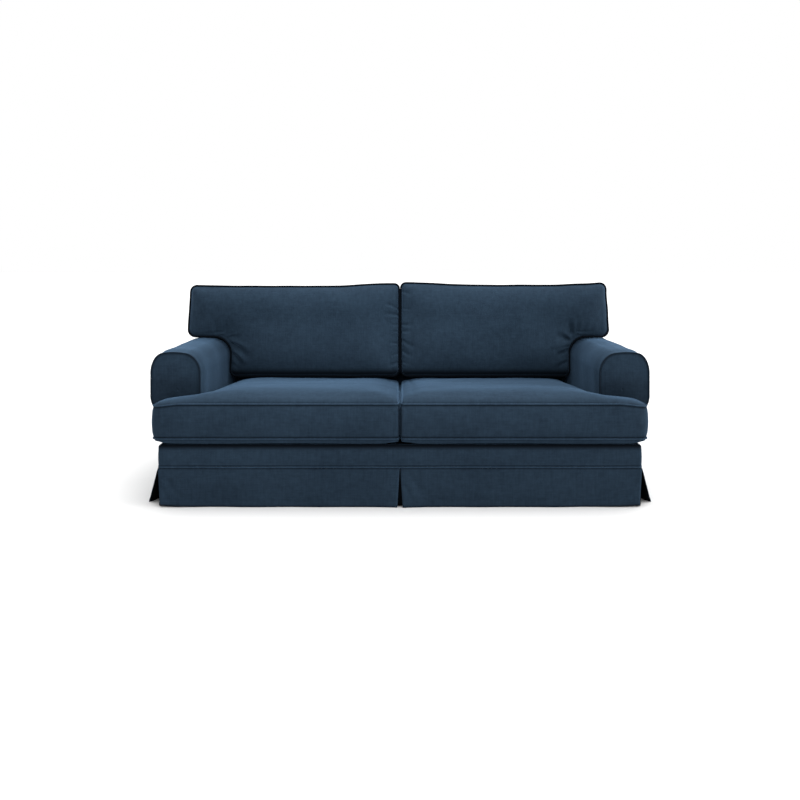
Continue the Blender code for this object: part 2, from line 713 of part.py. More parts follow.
def back_corners(ear_x):
    top = BACK_CUSHION_TOP_Z
    return (
        {"at": (BACK_CENTRE_X, top), "points": (-1, 1), "radius": 0.028},
        {"at": (ear_x, top), "points": (1, 1), "radius": 0.028},
        {"at": (ear_x, EAR_SEAM_Z), "points": (1, -1), "radius": 0.035},
        {"at": (BACK_CENTRE_X, BACK_SEAM_Z), "points": (-1, -1), "radius": 0.030},
        {"at": (BACK_SIDE_X, BACK_SEAM_Z), "points": (1, -1), "radius": 0.030},
        {"at": (BACK_SIDE_X, EAR_SEAM_Z), "points": (-1, 1), "radius": NOTCH_R},
    )


def back_cushion(side_name, side, ear_x, corner_rise, sag):
    """One back cushion, standing on the seat and leaning on the inside back, ear over the arm."""

    def in_notch(centre):
        return centre.x > BACK_SIDE_X and centre.y < EAR_SEAM_Z

    def rear(x, z, room):
        return BACK_REST * (1.0 - shoulder(room, BACK_REAR_SHOULDER))

    def front(x, z, room):
        return BACK_CUSHION_DEPTH + BACK_CUSHION_CROWN * shoulder(room, BACK_SHOULDER)

    def to_world(x, z, out):
        centre_rise = BACK_CENTRE_RISE * (1.0 - smooth_step(x, *BACK_RISE_FADE))
        ear_rise = corner_rise * smooth_step(x, BACK_EAR_RISE_X, ear_x)
        slope = BACK_TOP_SLOPE * (1.0 - min(out / BACK_CUSHION_DEPTH, 1.0))
        change = centre_rise + ear_rise - sag - slope
        height = z + change * smooth_step(z, EAR_SEAM_Z, BACK_CUSHION_TOP_Z)
        return Vector((side * x, inside_back_y(height) - GAP - out, height))

    plan = cushion_blank(back_columns(ear_x), BACK_ROWS, in_notch, back_corners(ear_x))
    solid, seams = cushion_solid(plan, rear, front, BACK_BULGE, to_world)
    finish(f"back_cushion_{side_name}", solid, NAVY_CLOTH)
    names = {"low": "rear", "high": "front"}
    for key, seam in seams.items():
        welt_round(f"back_welt_{names[key]}_{side_name}", seam, BACK_WELT_R, to_world, DARK_WELT)


def body_cover():
    deck_panel()
    front_band()
    inside_back()
    outside_back()
    back_boxing()
    for side_name, side in (("left", -1), ("right", 1)):
        arm_front(f"arm_front_{side_name}", side)
        arm_welt(f"arm_welt_{side_name}", side)
        arm_wrap(f"arm_wrap_{side_name}", side)
        outside_arm(f"outside_arm_{side_name}", side)


def skirt():
    skirt_welt()
    centre_pleat()
    for side_name, side in (("left", -1), ("right", 1)):
        corner_pleat(f"pleat_front_{side_name}", side, FRONT_Y, -1)
        corner_pleat(f"pleat_back_{side_name}", side, BACK_Y, 1)
    for panel in SKIRT_PANELS:
        skirt_panel(**panel)


def cushions():
    for side_name, side in (("left", -1), ("right", 1)):
        seat_cushion(side_name, side)
    for side_name, shape in BACK_CUSHIONS.items():
        back_cushion(side_name, **shape)


COVER = start_scene()
NAVY_CLOTH = fabric("navy_cloth", NAVY, 0.85)
DARK_WELT = fabric("dark_welt", DARK_NAVY, 0.80)
body_cover()
skirt()
cushions()
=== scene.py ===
import math
import bmesh
import bpy
import numpy as np
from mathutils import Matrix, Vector
from mathutils.bvhtree import BVHTree
from mathutils.kdtree import KDTree


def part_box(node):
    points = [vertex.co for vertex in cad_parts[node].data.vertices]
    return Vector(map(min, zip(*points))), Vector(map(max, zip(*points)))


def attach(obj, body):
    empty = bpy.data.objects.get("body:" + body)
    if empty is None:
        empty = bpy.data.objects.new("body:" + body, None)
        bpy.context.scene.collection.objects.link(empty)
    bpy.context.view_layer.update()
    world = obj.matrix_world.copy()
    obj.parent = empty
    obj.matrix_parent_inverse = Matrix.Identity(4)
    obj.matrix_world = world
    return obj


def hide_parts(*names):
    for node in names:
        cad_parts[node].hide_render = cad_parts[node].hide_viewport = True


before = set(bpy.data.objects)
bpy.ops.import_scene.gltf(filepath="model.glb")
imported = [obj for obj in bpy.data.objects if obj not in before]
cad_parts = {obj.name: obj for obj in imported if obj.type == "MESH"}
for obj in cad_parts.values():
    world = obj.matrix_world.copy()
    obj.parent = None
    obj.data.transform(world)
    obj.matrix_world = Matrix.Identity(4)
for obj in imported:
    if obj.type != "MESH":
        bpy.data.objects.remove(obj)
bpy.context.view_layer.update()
sides = {"left": -1, "right": 1}

# Sizes shared by the pieces, in metres. The places come from the solids they dress.
clothThick = 0.0022
gap = 0.0003
layer = clothThick + gap  # the room that one layer of cloth takes
seamIn = 0.0028  # how far a panel's edge stays behind a corded seam
skirtCordR = 0.003
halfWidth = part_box("skirt_welt")[1].x - skirtCordR
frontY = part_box("deck_panel")[0].y - 0.0123  # the band's face, in front of the deck's edge
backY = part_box("outside_back")[1].y
cornerR = 0.014
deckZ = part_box("deck_panel")[1].z
skirtSeamZ = 0.163
overSeamZ = skirtSeamZ + skirtCordR + gap
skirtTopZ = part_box("skirt_back")[1].z
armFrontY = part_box("arm_front_left")[0].y
armInnerX = 0.874
armTopZ = 0.613
armSwell = 0.006  # the padded roll stands out past its front seam
rollBottomZ = 0.36
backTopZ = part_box("inside_back")[1].z
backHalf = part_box("inside_back")[1].x
splitX = backHalf - layer  # inside this the arm's cover ends at the front of the back


def ease(value, low, high):
    t = np.clip((value - low) / (high - low), 0.0, 1.0)
    return t * t * (3.0 - 2.0 * t)


def ridge(value, at, width):
    # 1 at one value, falling off softly on both sides
    return np.exp(-((value - at) / width) ** 2)


def waves(x, y, size, seed):
    # gentle unevenness between about -1 and 1, the same on every run
    rng = np.random.default_rng(seed)
    total = np.zeros_like(x + y)
    for turn in range(6):
        heading = rng.uniform(0, math.pi)
        length = size * rng.uniform(0.6, 1.7)
        offset = rng.uniform(0, 2 * math.pi)
        along = x * math.cos(heading) + y * math.sin(heading)
        total += np.sin(2 * math.pi * along / length + offset)
    return total / 4.0


def troughs(x, y, creases):
    # soft valleys, deepest at the start; each is start, end, width, depth and bend in millimetres
    total = np.zeros_like(x + y)
    for crease in creases:
        startX, startY, endX, endY, width, depth, bend = [value / 1000.0 for value in crease]
        runX, runY = endX - startX, endY - startY
        run = math.hypot(runX, runY)
        share = ((x - startX) * runX + (y - startY) * runY) / run ** 2
        within = np.clip(share, 0, 1)
        off = ((x - startX) * runY - (y - startY) * runX) / run - bend * np.sin(math.pi * within)
        wide = width * (0.6 + 0.8 * within)
        fade = np.clip(1.0 - share, 0, 1) ** 0.8 * ease(share, -0.12, 0.06)
        total += depth * fade * (ridge(off, 0.0, wide) - 0.45 * ridge(off, 1.7 * wide, wide))
    return total


def stacked(*parts):
    return np.column_stack(parts)


def arcPoints(centre, radii, startDeg, endDeg, steps):
    angles = np.radians(np.linspace(startDeg, endDeg, steps + 1))
    return stacked(np.cos(angles), np.sin(angles)) * radii + centre


def upright(x, lowZ, highZ, count):
    return stacked(np.full(count, x), np.linspace(lowZ, highZ, count))


def lengths(vectors):
    return np.linalg.norm(vectors, axis=-1)


def spans(points, axis=0):
    # the distances from each point to the next
    return lengths(np.diff(points, axis=axis))


def joined(*runs):
    # several runs of points in one, without doubled ends
    points = np.vstack(runs)
    return points[np.r_[True, spans(points) > 1e-6]]


def evenly(points, count):
    # a polyline resampled to even steps
    points = np.asarray(points, float)
    length = np.r_[0.0, np.cumsum(spans(points))]
    at = np.linspace(0.0, length[-1], count + 1)
    return stacked(*[np.interp(at, length, points[:, k]) for k in range(points.shape[1])])


def mirrored(half):
    # a plan that ends in the middle, carried on to the other side
    return np.vstack([half, half[-2::-1] * [-1, 1]])


def facings(points, closed=False):
    # outward directions along a plan outline that runs anticlockwise
    if closed:
        along = np.roll(points, -1, axis=0) - np.roll(points, 1, axis=0)
    else:
        along = np.gradient(points, axis=0)
    along /= lengths(along)[:, None]
    return stacked(along[:, 1], -along[:, 0])


# the noises are given as scale, detail and roughness
clothLook = {
    "navy": (0.0118, 0.0226, 0.0371),
    # reverse is painted shade: the inner faces and the pleat inserts are darkened to read as shadow
    "reverse": (0.0009, 0.0016, 0.0027),
    # cord is the back piping's own dark navy, pushed darker still as painted shade; painted shade elsewhere
    # darkens towards it
    "cord": (0.0016, 0.003, 0.0052),
    # deck is painted shade: the cloth under the seats is darkened to the black of the shadow there
    "deck": (0.0018, 0.0034, 0.0056),
    # lighter than the cloth: a painted highlight along the corded seams
    "litCord": (0.0165, 0.031, 0.051),
    # darker than the cloth: painted shade in the groove of the arm's front seam
    "armCord": (0.0055, 0.0104, 0.0176),
    "darkest": (0.66, 0.68, 0.7),
    "lightest": (1.4, 1.36, 1.32),
    "middle": 0.64,  # where the sum of the noises mostly lies
    "mottle": 0.195,  # smaller is stronger
    "clouds": {"noise": (7.0, 4.0, 0.55), "weight": 0.32},
    "nap": {"noise": (42.0, 4.0, 0.65), "weight": 0.42, "bump": 0.25, "height": 0.004},
    "slubs": {"weft": (300.0, 3.0, 0.55), "warp": (255.0, 3.0, 0.55), "weight": 0.27,
              "bump": 0.45, "height": 0.0009},
    "fuzz": (1500.0, 2.0, 0.55),
    "sheen": 0.178,
    "armSheen": 0.19,
    "armCordSheen": 0.03,
    "sheenSpread": 0.36,
    "sheenTint": (0.33, 0.61, 1.0),
    "gloss": 0.04,
}


def clothMaterial(name, kind, weft, sheen):
    # brushed cloth with clouds, nap and slubs; weft is the axis that most slubs run along
    look = clothLook
    tone = look[kind]
    material = bpy.data.materials.new(name)
    material.use_nodes = True
    tree = material.node_tree
    link = tree.links.new
    shader = tree.nodes["Principled BSDF"]
    place = tree.nodes.new("ShaderNodeTexCoord")

    def noise(scaleDetailRough, stretch=(1.0, 1.0, 1.0)):
        mapping = tree.nodes.new("ShaderNodeMapping")
        mapping.inputs["Scale"].default_value = stretch
        link(place.outputs["Object"], mapping.inputs["Vector"])
        texture = tree.nodes.new("ShaderNodeTexNoise")
        for socket, value in zip(("Scale", "Detail", "Roughness"), scaleDetailRough):
            texture.inputs[socket].default_value = value
        link(mapping.outputs["Vector"], texture.inputs["Vector"])
        return texture.outputs["Fac"]

    def reckon(how, first, second):
        node = tree.nodes.new("ShaderNodeMath")
        node.operation = how
        for socket, value in zip(node.inputs, (first, second)):
            if isinstance(value, float):
                socket.default_value = value
            else:
                link(value, socket)
        return node.outputs["Value"]

    def bump(part, height):
        node = tree.nodes.new("ShaderNodeBump")
        node.inputs["Strength"].default_value = part["bump"]
        node.inputs["Distance"].default_value = part["height"]
        link(height, node.inputs["Height"])
        return node

    weftStretch = {"x": (0.06, 1.0, 1.0), "y": (1.0, 0.06, 1.0)}[weft]
    warpStretch = {"x": (1.0, 0.07, 0.07), "y": (0.07, 1.0, 0.07)}[weft]
    clouds = noise(look["clouds"]["noise"], (0.7, 1.0, 1.0))
    nap = noise(look["nap"]["noise"])
    slubs = reckon("ADD", noise(look["slubs"]["weft"], weftStretch),
                   noise(look["slubs"]["warp"], warpStretch))
    fuzz = noise(look["fuzz"])
    shade = reckon("ADD", reckon("MULTIPLY", clouds, look["clouds"]["weight"]),
                   reckon("MULTIPLY", nap, look["nap"]["weight"]))
    shade = reckon("ADD", shade, reckon("MULTIPLY", slubs, look["slubs"]["weight"]))
    ramp = tree.nodes.new("ShaderNodeValToRGB")
    for end, way, tint in zip(ramp.color_ramp.elements, (-1, 1), (look["darkest"], look["lightest"])):
        end.position = look["middle"] + way * look["mottle"]
        end.color = (tone[0] * tint[0], tone[1] * tint[1], tone[2] * tint[2], 1.0)
    link(shade, ramp.inputs["Fac"])
    # painted shade: where the mesh's shade attribute is set, the colour darkens towards the dark cord tone
    shadeAmount = tree.nodes.new("ShaderNodeAttribute")
    shadeAmount.attribute_name = "paintedShade"
    darken = tree.nodes.new("ShaderNodeMix")
    darken.data_type = "RGBA"
    link(shadeAmount.outputs["Fac"], darken.inputs["Factor"])
    link(ramp.outputs["Color"], darken.inputs["A"])
    darken.inputs["B"].default_value = (*look["cord"], 1.0)
    link(darken.outputs["Result"], shader.inputs["Base Color"])
    link(reckon("ADD", reckon("MULTIPLY", nap, 0.18), 0.72), shader.inputs["Roughness"])

    height = reckon("ADD", reckon("MULTIPLY", slubs, 0.7), reckon("MULTIPLY", fuzz, 0.35))
    threads = bump(look["slubs"], height)
    brushed = bump(look["nap"], nap)
    link(threads.outputs["Normal"], brushed.inputs["Normal"])
    link(brushed.outputs["Normal"], shader.inputs["Normal"])
    shader.inputs["Sheen Weight"].default_value = sheen
    shader.inputs["Sheen Roughness"].default_value = look["sheenSpread"]
    shader.inputs["Sheen Tint"].default_value = (*look["sheenTint"], 1.0)
    shader.inputs["Specular IOR Level"].default_value = look["gloss"]
    return material


brushedNavy = clothMaterial("brushed navy cloth", "navy", "x", clothLook["sheen"])
brushedNavyArms = clothMaterial("brushed navy cloth on the arms", "navy", "y", clothLook["armSheen"])
shadedNavyReverse = clothMaterial("reverse of the navy cloth, darkened as painted shade", "reverse", "x", 0.0)
litNavyCord = clothMaterial("navy cord cover, lightened as a painted highlight", "litCord", "x", clothLook["sheen"])
armCord = clothMaterial("navy cord cover, darkened as painted shade", "armCord", "x", clothLook["armCordSheen"])
# the back piping: a dark navy cord, made darker as painted shade so that it stays black where light reaches
# it
darkCord = clothMaterial("dark navy cord cover", "cord", "x", 0.0)
shadedDeckCloth = clothMaterial("deck cloth under the seats, darkened as painted shade", "deck", "x", 0.0)


def placed(name, data):
    thing = bpy.data.objects.new(name, data)
    bpy.context.scene.collection.objects.link(thing)
    return thing


def standFor(piece, cadNode):
    # the cover is one body, and each piece stands for one solid
    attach(piece, "root")
    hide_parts(cadNode)


def paintShade(mesh, shade):
    # stores the painted shade, how far each vertex's colour is darkened
    mesh.attributes.new("paintedShade", "FLOAT", "POINT").data.foreach_set("value", shade.astype(np.float32))


def clothSheet(name, points, inside, material, cadNode,
               keep=None, flat=None, shade=None):
    # points is rows x columns x 3; the sheet faces away from the point inside
    rows, columns = points.shape[:2]
    ids = np.arange(rows * columns).reshape(rows, columns)
    quads = np.stack([ids[:-1, :-1], ids[:-1, 1:], ids[1:, 1:], ids[1:, :-1]], axis=-1)
    if keep is not None:
        quads = quads[keep]
    quads = quads.reshape(-1, 4)
    spots = points.reshape(-1, 3)
    middle = spots[quads].mean(axis=1)
    normal = np.cross(spots[quads[:, 2]] - spots[quads[:, 0]], spots[quads[:, 3]] - spots[quads[:, 1]])
    if (normal * (middle - np.asarray(inside))).sum() < 0:
        quads = quads[:, ::-1]
    used = np.unique(quads)
    renumber = np.zeros(len(spots), int)
    renumber[used] = np.arange(len(used))
    mesh = bpy.data.meshes.new(name)
    mesh.from_pydata(spots[used].tolist(), [], renumber[quads].tolist())
    mesh.shade_smooth()
    if shade is not None:
        paintShade(mesh, shade.reshape(-1)[used])
    piece = placed(name, mesh)
    mesh.materials.append(material)
    mesh.materials.append(shadedNavyReverse)
    standFor(piece, cadNode)
    thicken = piece.modifiers.new("cloth thickness", "SOLIDIFY")
    thicken.thickness = clothThick
    thicken.offset = -1.0
    # the inner face takes the darkened reverse, painted shade where it shows through the openings
    thicken.material_offset = 1
    # its cut size, measured along the longest row and column unless given
    if flat is None:
        flat = (spans(points, 1).sum(axis=1).max(), spans(points).sum(axis=0).max())


def cordPiece(name, points, radius, closed, material, cadNode):
    curve = bpy.data.curves.new(name, "CURVE")
    curve.dimensions = "3D"
    curve.twist_mode = "Z_UP"
    curve.bevel_depth = radius
    curve.bevel_resolution = 3
    curve.use_fill_caps = not closed
    spline = curve.splines.new("POLY")
    spline.points.add(len(points) - 1)
    for point, position in zip(spline.points, np.asarray(points).tolist()):
        point.co = (*position, 1.0)
    spline.use_cyclic_u = closed
    curve.materials.append(material)
    standFor(placed(name, curve), cadNode)


arm = {
    # the centre and radii of each bend
    "innerTop": ((0.95, 0.527), (0.076, 0.086)),
    "outerTop": ((1.03, 0.527), (0.055, 0.086)),
    "outerLow": ((1.034, 0.43), (0.051, 0.07)),
    "top": {"x": (0.962, 0.973, splitX, 0.992, 1.004, 1.017), "middle": 0.99, "half": 0.04, "crown": 0.003},
    "axis": (0.985, 0.47),  # runs through the padding, from front to back
    "underX": 1.02,
    "cover": {"columns": 34, "rearColumns": 6, "slack": 0.0016, "shade": 0.22, "rearShade": 0.55,
              # shallow drags towards the back cushion
              "drags": [(340, 520, 160, 545, 12, -2.2, 8),
                        (340, 450, 180, 500, 15, -1.8, 10)]},
    "front": {"rings": 22, "heart": (0.968, 0.455), "flat": (0.225, 0.375), "puff": 0.0045,
              "rim": 0.001, "groove": 0.0008, "uneven": 0.001, "rimShade": 0.6, "footShade": 0.3},
    "welt": {"radius": 0.0027, "out": 0.0012, "footRise": 0.0036, "endOut": 0.003},
    "outside": {"puff": 0.0012, "uneven": 0.0018, "underRoll": 0.0015},
}


def armBend(name, startDeg, endDeg, swell, steps=16):
    centre, radii = arm[name]
    return arcPoints(centre, np.array(radii) + swell, startDeg, endDeg, steps)


def armRoll(swell):
    top = arm["top"]
    x = np.array(top["x"])
    z = armTopZ + swell + top["crown"] * (1.0 - ((x - top["middle"]) / top["half"]) ** 2)
    underZ = rollBottomZ - swell
    return joined(armBend("innerTop", 180, 90, swell), stacked(x, z),
                  armBend("outerTop", 90, 0, swell), armBend("outerLow", 0, -90, swell),
                  [[arm["underX"], underZ], [halfWidth + gap, underZ]])


def armSection(swell):
    return joined(upright(armInnerX - swell, deckZ - clothThick, 0.52, 14), armRoll(swell))


def insideBackY(z):
    # the front of the sofa's back leans away
    return 0.33 + 0.085 * (z - deckZ)


def buildArmCover(sideName, side):
    # the wrap: up the inside, over the roll and in under it
    look = arm["cover"]
    inFront = look["columns"]
    startY = armFrontY + seamIn
    section = armSection(armSwell)
    split = int(np.argmin(np.where(section[:, 1] < armTopZ, 1.0, np.abs(section[:, 0] - splitX))))
    columns = []
    for j in range(inFront + look["rearColumns"] + 1):
        share = min(j / inFront, 1.0)
        shape = armSection(armSwell * float(ease(share, 0.0, 0.13)))
        endY = insideBackY(shape[:, 1]) + layer
        y = startY + (endY - startY) * share
        if j > inFront:
            y = y + (backY - seamIn - y) * (j - inFront) / look["rearColumns"]
        columns.append(stacked(side * shape[:, 0], y, shape[:, 1]))
    points = np.stack(columns, axis=1)
    around = np.linspace(0, 1, len(section))[:, None] * np.ones(points.shape[1])
    y = points[:, :, 1].copy()
    slack = look["slack"] * waves(y, around * 0.9, 0.26, 11 + side)
    slack += troughs(y, points[:, :, 2], look["drags"]) * (around < 0.45)
    slack *= ease(y, startY, startY + 0.05)
    slack *= ease(around, 0.0, 0.05) * (1.0 - ease(around, 0.94, 1.0))
    out = points - [side * arm["axis"][0], 0.0, arm["axis"][1]]
    out[:, :, 1] = 0
    out /= lengths(out)[:, :, None]
    points += out * slack[:, :, None]
    # behind the front of the back only the outer part goes on
    keep = np.ones((points.shape[0] - 1, points.shape[1] - 1), bool)
    keep[:split, inFront:] = False
    # painted shade on the inside of the arm, deepest beside the back cushion, and a painted shadow under
    # the back cushion's ear
    x = np.abs(points[:, :, 0])
    inner = 1.0 - ease(x, 0.872, 0.925)
    shade = inner * (look["shade"] + look["rearShade"] * ease(y, -0.34, 0.1))
    shade = np.maximum(shade, ease(y, 0.135, 0.185) * (x < 1.04))
    clothSheet(f"arm_cover_{sideName}", points, (side * arm["axis"][0], 0.1, arm["axis"][1]),
               brushedNavyArms, f"arm_wrap_{sideName}", keep=keep, shade=shade)


def buildArmFront(sideName, side):
    # rings from the seam to the middle, a little puffed
    look = arm["front"]
    footZ = deckZ + gap
    seam = joined([[armInnerX, footZ], [armInnerX, 0.38]], armRoll(0.0)[:-2],
                  [[halfWidth, rollBottomZ], [halfWidth, footZ], [armInnerX, footZ]])
    seam = evenly(seam, 150)
    heart = np.array(look["heart"])
    rings = []
    shade = []
    for ring in range(look["rings"]):
        inward = 1.0 - (ring / (look["rings"] - 1)) ** 1.15
        flat = heart + (seam - heart) * max(inward, 0.004)
        puff = look["puff"] * (1.0 - inward ** 3)
        puff += look["rim"] * ridge(inward, 0.9, 0.025) - look["groove"] * ridge(inward, 0.84, 0.02)
        puff += look["uneven"] * waves(flat[:, 0], flat[:, 1], 0.13, 31 + side) * (1.0 - inward ** 4)
        # painted shade along the seam and at the foot beside the seat
        foot = look["footShade"] * (1.0 - ease(flat[:, 1], 0.46, 0.54))
        shade.append(np.maximum(look["rimShade"] * ridge(inward, 1.0, 0.04), foot))
        rings.append(stacked(side * flat[:, 0], armFrontY - puff, flat[:, 1]))
    clothSheet(f"arm_front_{sideName}_panel", np.stack(rings), (side * 0.97, 1.0, 0.45), brushedNavy,
               f"arm_front_{sideName}", flat=look["flat"], shade=np.array(shade))


def buildArmWelt(sideName, side):
    # the cord in the seam between the cover and the front panel
    look = arm["welt"]
    edge = joined([[armInnerX, deckZ + look["footRise"]], [armInnerX, 0.4]], armRoll(0.0)[:-2],
                  [[halfWidth + look["endOut"], rollBottomZ]])
    edge = evenly(edge, 120)
    edge = edge - facings(edge) * look["out"]  # it runs clockwise
    line = stacked(side * edge[:, 0], np.full(len(edge), armFrontY - look["out"]), edge[:, 1])
    cordPiece(f"arm_welt_{sideName}_cord", line, look["radius"], False, armCord,
              f"arm_welt_{sideName}")


def buildOutsideArm(sideName, side):
    # the flat panel under the roll
    look = arm["outside"]
    z = np.linspace(overSeamZ, rollBottomZ - armSwell + look["underRoll"], 16)
    gridY, gridZ = np.meshgrid(np.linspace(armFrontY + seamIn, backY - seamIn, 60), z)
    rim = ease(gridZ, z[0], z[0] + 0.05) * (1.0 - ease(gridZ, z[-1] - 0.03, z[-1]))
    x = halfWidth + rim * (look["puff"] + look["uneven"] * waves(gridY, gridZ, 0.35, 41 + side))
    points = np.stack([side * x, gridY, gridZ], axis=-1)
    clothSheet(f"outside_arm_{sideName}_panel", points, (0, 0, 0.3), brushedNavyArms,
               f"outside_arm_{sideName}")


def baseCorner(side, endY, outwardY, inset=0.0, steps=8):
    # plan points round a corner of the base, from its side to its end
    angles = np.linspace(0, math.pi / 2, steps + 1)
    facing = stacked(side * np.cos(angles), outwardY * np.sin(angles))
    centre = np.array([side * (halfWidth - cornerR), endY - outwardY * cornerR])
    return centre + facing * (cornerR - inset), facing


deck = {"edgeIn": 0.0125, "rearY": 0.3293, "rearHalf": armInnerX - armSwell - gap, "sag": 0.0006}


def buildDeck():
    # wide in front of the arms and narrow between them
    half = halfWidth - deck["edgeIn"]
    x = np.unique(np.r_[np.linspace(-half, half, 91), -deck["rearHalf"], deck["rearHalf"]])
    y = np.unique(np.r_[np.linspace(frontY + deck["edgeIn"], deck["rearY"], 45), armFrontY + layer])
    gridX, gridY = np.meshgrid(x, y)
    sag = deck["sag"] * waves(gridX, gridY, 0.4, 5) - deck["sag"]
    points = np.stack([gridX, gridY, deckZ + sag], axis=-1)
    middleX = 0.5 * (x[1:] + x[:-1])
    middleY = 0.5 * (y[1:] + y[:-1])
    keep = (np.abs(middleX)[None, :] < deck["rearHalf"]) | (middleY[:, None] < armFrontY + layer)
    # its dark cloth is painted shade under the seats
    clothSheet("deck", points, (0, 0, 0), shadedDeckCloth, "deck_panel", keep=keep)


band = {"edgeR": 0.01, "lip": 0.012, "swell": 0.0012, "uneven": 0.001, "setBack": 0.006,
        "footShade": 0.7}


def buildBand():
    # half the plan, from the arm round the corner to the middle, and then its mirror image
    cornerPlan, cornerFacing = baseCorner(1, frontY, -1)
    sideY = np.linspace(armFrontY + layer, frontY + cornerR, 12)[:-1]
    frontX = np.linspace(halfWidth - cornerR, 0, 60)[1:]
    plan = mirrored(np.vstack([stacked(np.full(len(sideY), halfWidth), sideY), cornerPlan,
                               stacked(frontX, np.full(len(frontX), frontY))]))
    facing = mirrored(np.vstack([[[1.0, 0.0]] * len(sideY), cornerFacing, [[0.0, -1.0]] * len(frontX)]))
    edgeR = band["edgeR"]
    section = joined(upright(0.0, overSeamZ, deckZ - edgeR, 14),
                     arcPoints((-edgeR, deckZ - edgeR), (edgeR, edgeR), 0, 90, 6), [[-band["lip"], deckZ]])
    points = np.zeros((len(section), len(plan), 3))
    # painted shade along the foot seam and under the seat's overhang at the top
    shade = np.zeros((len(section), len(plan)))
    shade[0] = band["footShade"]
    shade += ease(section[:, 1], deckZ - 0.024, deckZ - 0.003)[:, None] ** 0.8
    for row, (out, z) in enumerate(section):
        share = (z - section[0, 1]) / (deckZ - section[0, 1])
        belly = math.sin(math.pi * min(share, 1.0))
        uneven = band["uneven"] * belly * waves(plan[:, 0], plan[:, 1], 0.45, 7)
        setBack = band["setBack"] * ease(share, 0.35, 0.95) * np.abs(facing[:, 1])
        out = out + band["swell"] * belly ** 0.8 + uneven - setBack
        points[row, :, :2] = plan + facing * out[:, None]
        points[row, :, 2] = z
    clothSheet("front_border", points, (0, 0, 0.1), brushedNavy, "front_band", shade=shade)


backCover = {"shoulderR": 0.04, "innerSlack": 0.0015, "outerSlack": 0.003, "lift": 0.0022,
             "liftUneven": 0.0012}


def panelRows(edge, columns):
    # a panel as rows between its left and right edge, given as half-widths going up
    return edge[:, :1] * np.linspace(-1, 1, columns), edge[:, 1:] * np.ones(columns)


def buildBack():
    # the leaning front of the back, notched over the arms
    swell = armSwell + gap
    shoulderR = backCover["shoulderR"]
    shoulder = arcPoints((backHalf - shoulderR, backTopZ - shoulderR), (shoulderR, shoulderR), 0, 90, 12)
    above = np.vstack([upright(backHalf, 0.65, 0.76, 7), shoulder[:-1]])
    edge = joined(upright(armInnerX - swell, deckZ - layer, 0.51, 10),
                  armBend("innerTop", 180, 90, swell, 20),
                  [[splitX, armTopZ + swell + 0.0002], [backHalf, armTopZ + swell + 0.0006]], above)
    x, z = panelRows(edge, 101)
    slack = backCover["innerSlack"] * waves(x, z, 0.5, 17) * ease(backTopZ - z, 0.0, 0.05)
    points = np.stack([x, insideBackY(z) + slack, z], axis=-1)
    clothSheet("back_inner_panel", points, (0, 1, 0.5), brushedNavy, "inside_back")

    # the upright rear panel, which closes the ends of the arms too
    edge = joined(upright(halfWidth, overSeamZ, rollBottomZ - armSwell - 0.003, 10),
                  armBend("outerLow", -90, 0, armSwell, 14), armBend("outerTop", 0, 90, armSwell, 14),
                  [[backHalf, armTopZ + armSwell + 0.0004]], above)
    x, z = panelRows(edge, 111)
    inward = 1.0 - np.abs(x) / edge[:, :1]
    calm = ease(inward, 0.0, 0.06) * ease(z, z.min(), z.min() + 0.05)
    calm *= ease(backTopZ - z, 0.0, 0.05)
    slack = backCover["outerSlack"] * waves(x, z, 0.55, 19) * calm
    points = np.stack([x, backY - 0.001 + slack, z], axis=-1)
    clothSheet("back_outer_panel", points, (0, 0, 0.5), brushedNavy, "outside_back")

    # the strip over the top of the back
    edge = joined([[backHalf, armTopZ + armSwell + 0.0006], [backHalf, 0.7], [backHalf, 0.74]], shoulder)
    edge = joined(evenly(edge, 26), stacked(np.linspace(backHalf - 0.06, 0, 40), np.full(40, backTopZ)))
    path = mirrored(edge)
    away = path - [0, 0.45]
    away = away / lengths(away)[:, None]
    frontEdge = insideBackY(path[:, 1]) + seamIn
    rows = []
    for share in np.linspace(0, 1, 13):
        y = frontEdge + (backY - seamIn - frontEdge) * share
        uneven = backCover["liftUneven"] * waves(path[:, 0], path[:, 1], 0.4, 23)
        lift = math.sin(math.pi * share) * (backCover["lift"] + uneven)
        rows.append(stacked(path[:, 0] + away[:, 0] * lift, y, path[:, 1] + away[:, 1] * lift))
    clothSheet("back_boxing_strip", np.stack(rows), (0, 0.43, 0.45), brushedNavy, "back_boxing")


skirt = {"step": 0.009, "flare": 0.006, "reach": 0.1, "ripple": 0.0035, "rippleLength": 0.31,
         "uneven": 0.0016, "hem": 0.022, "sideHem": 0.02, "hemRise": 0.0009, "stitchWidth": 0.0022}
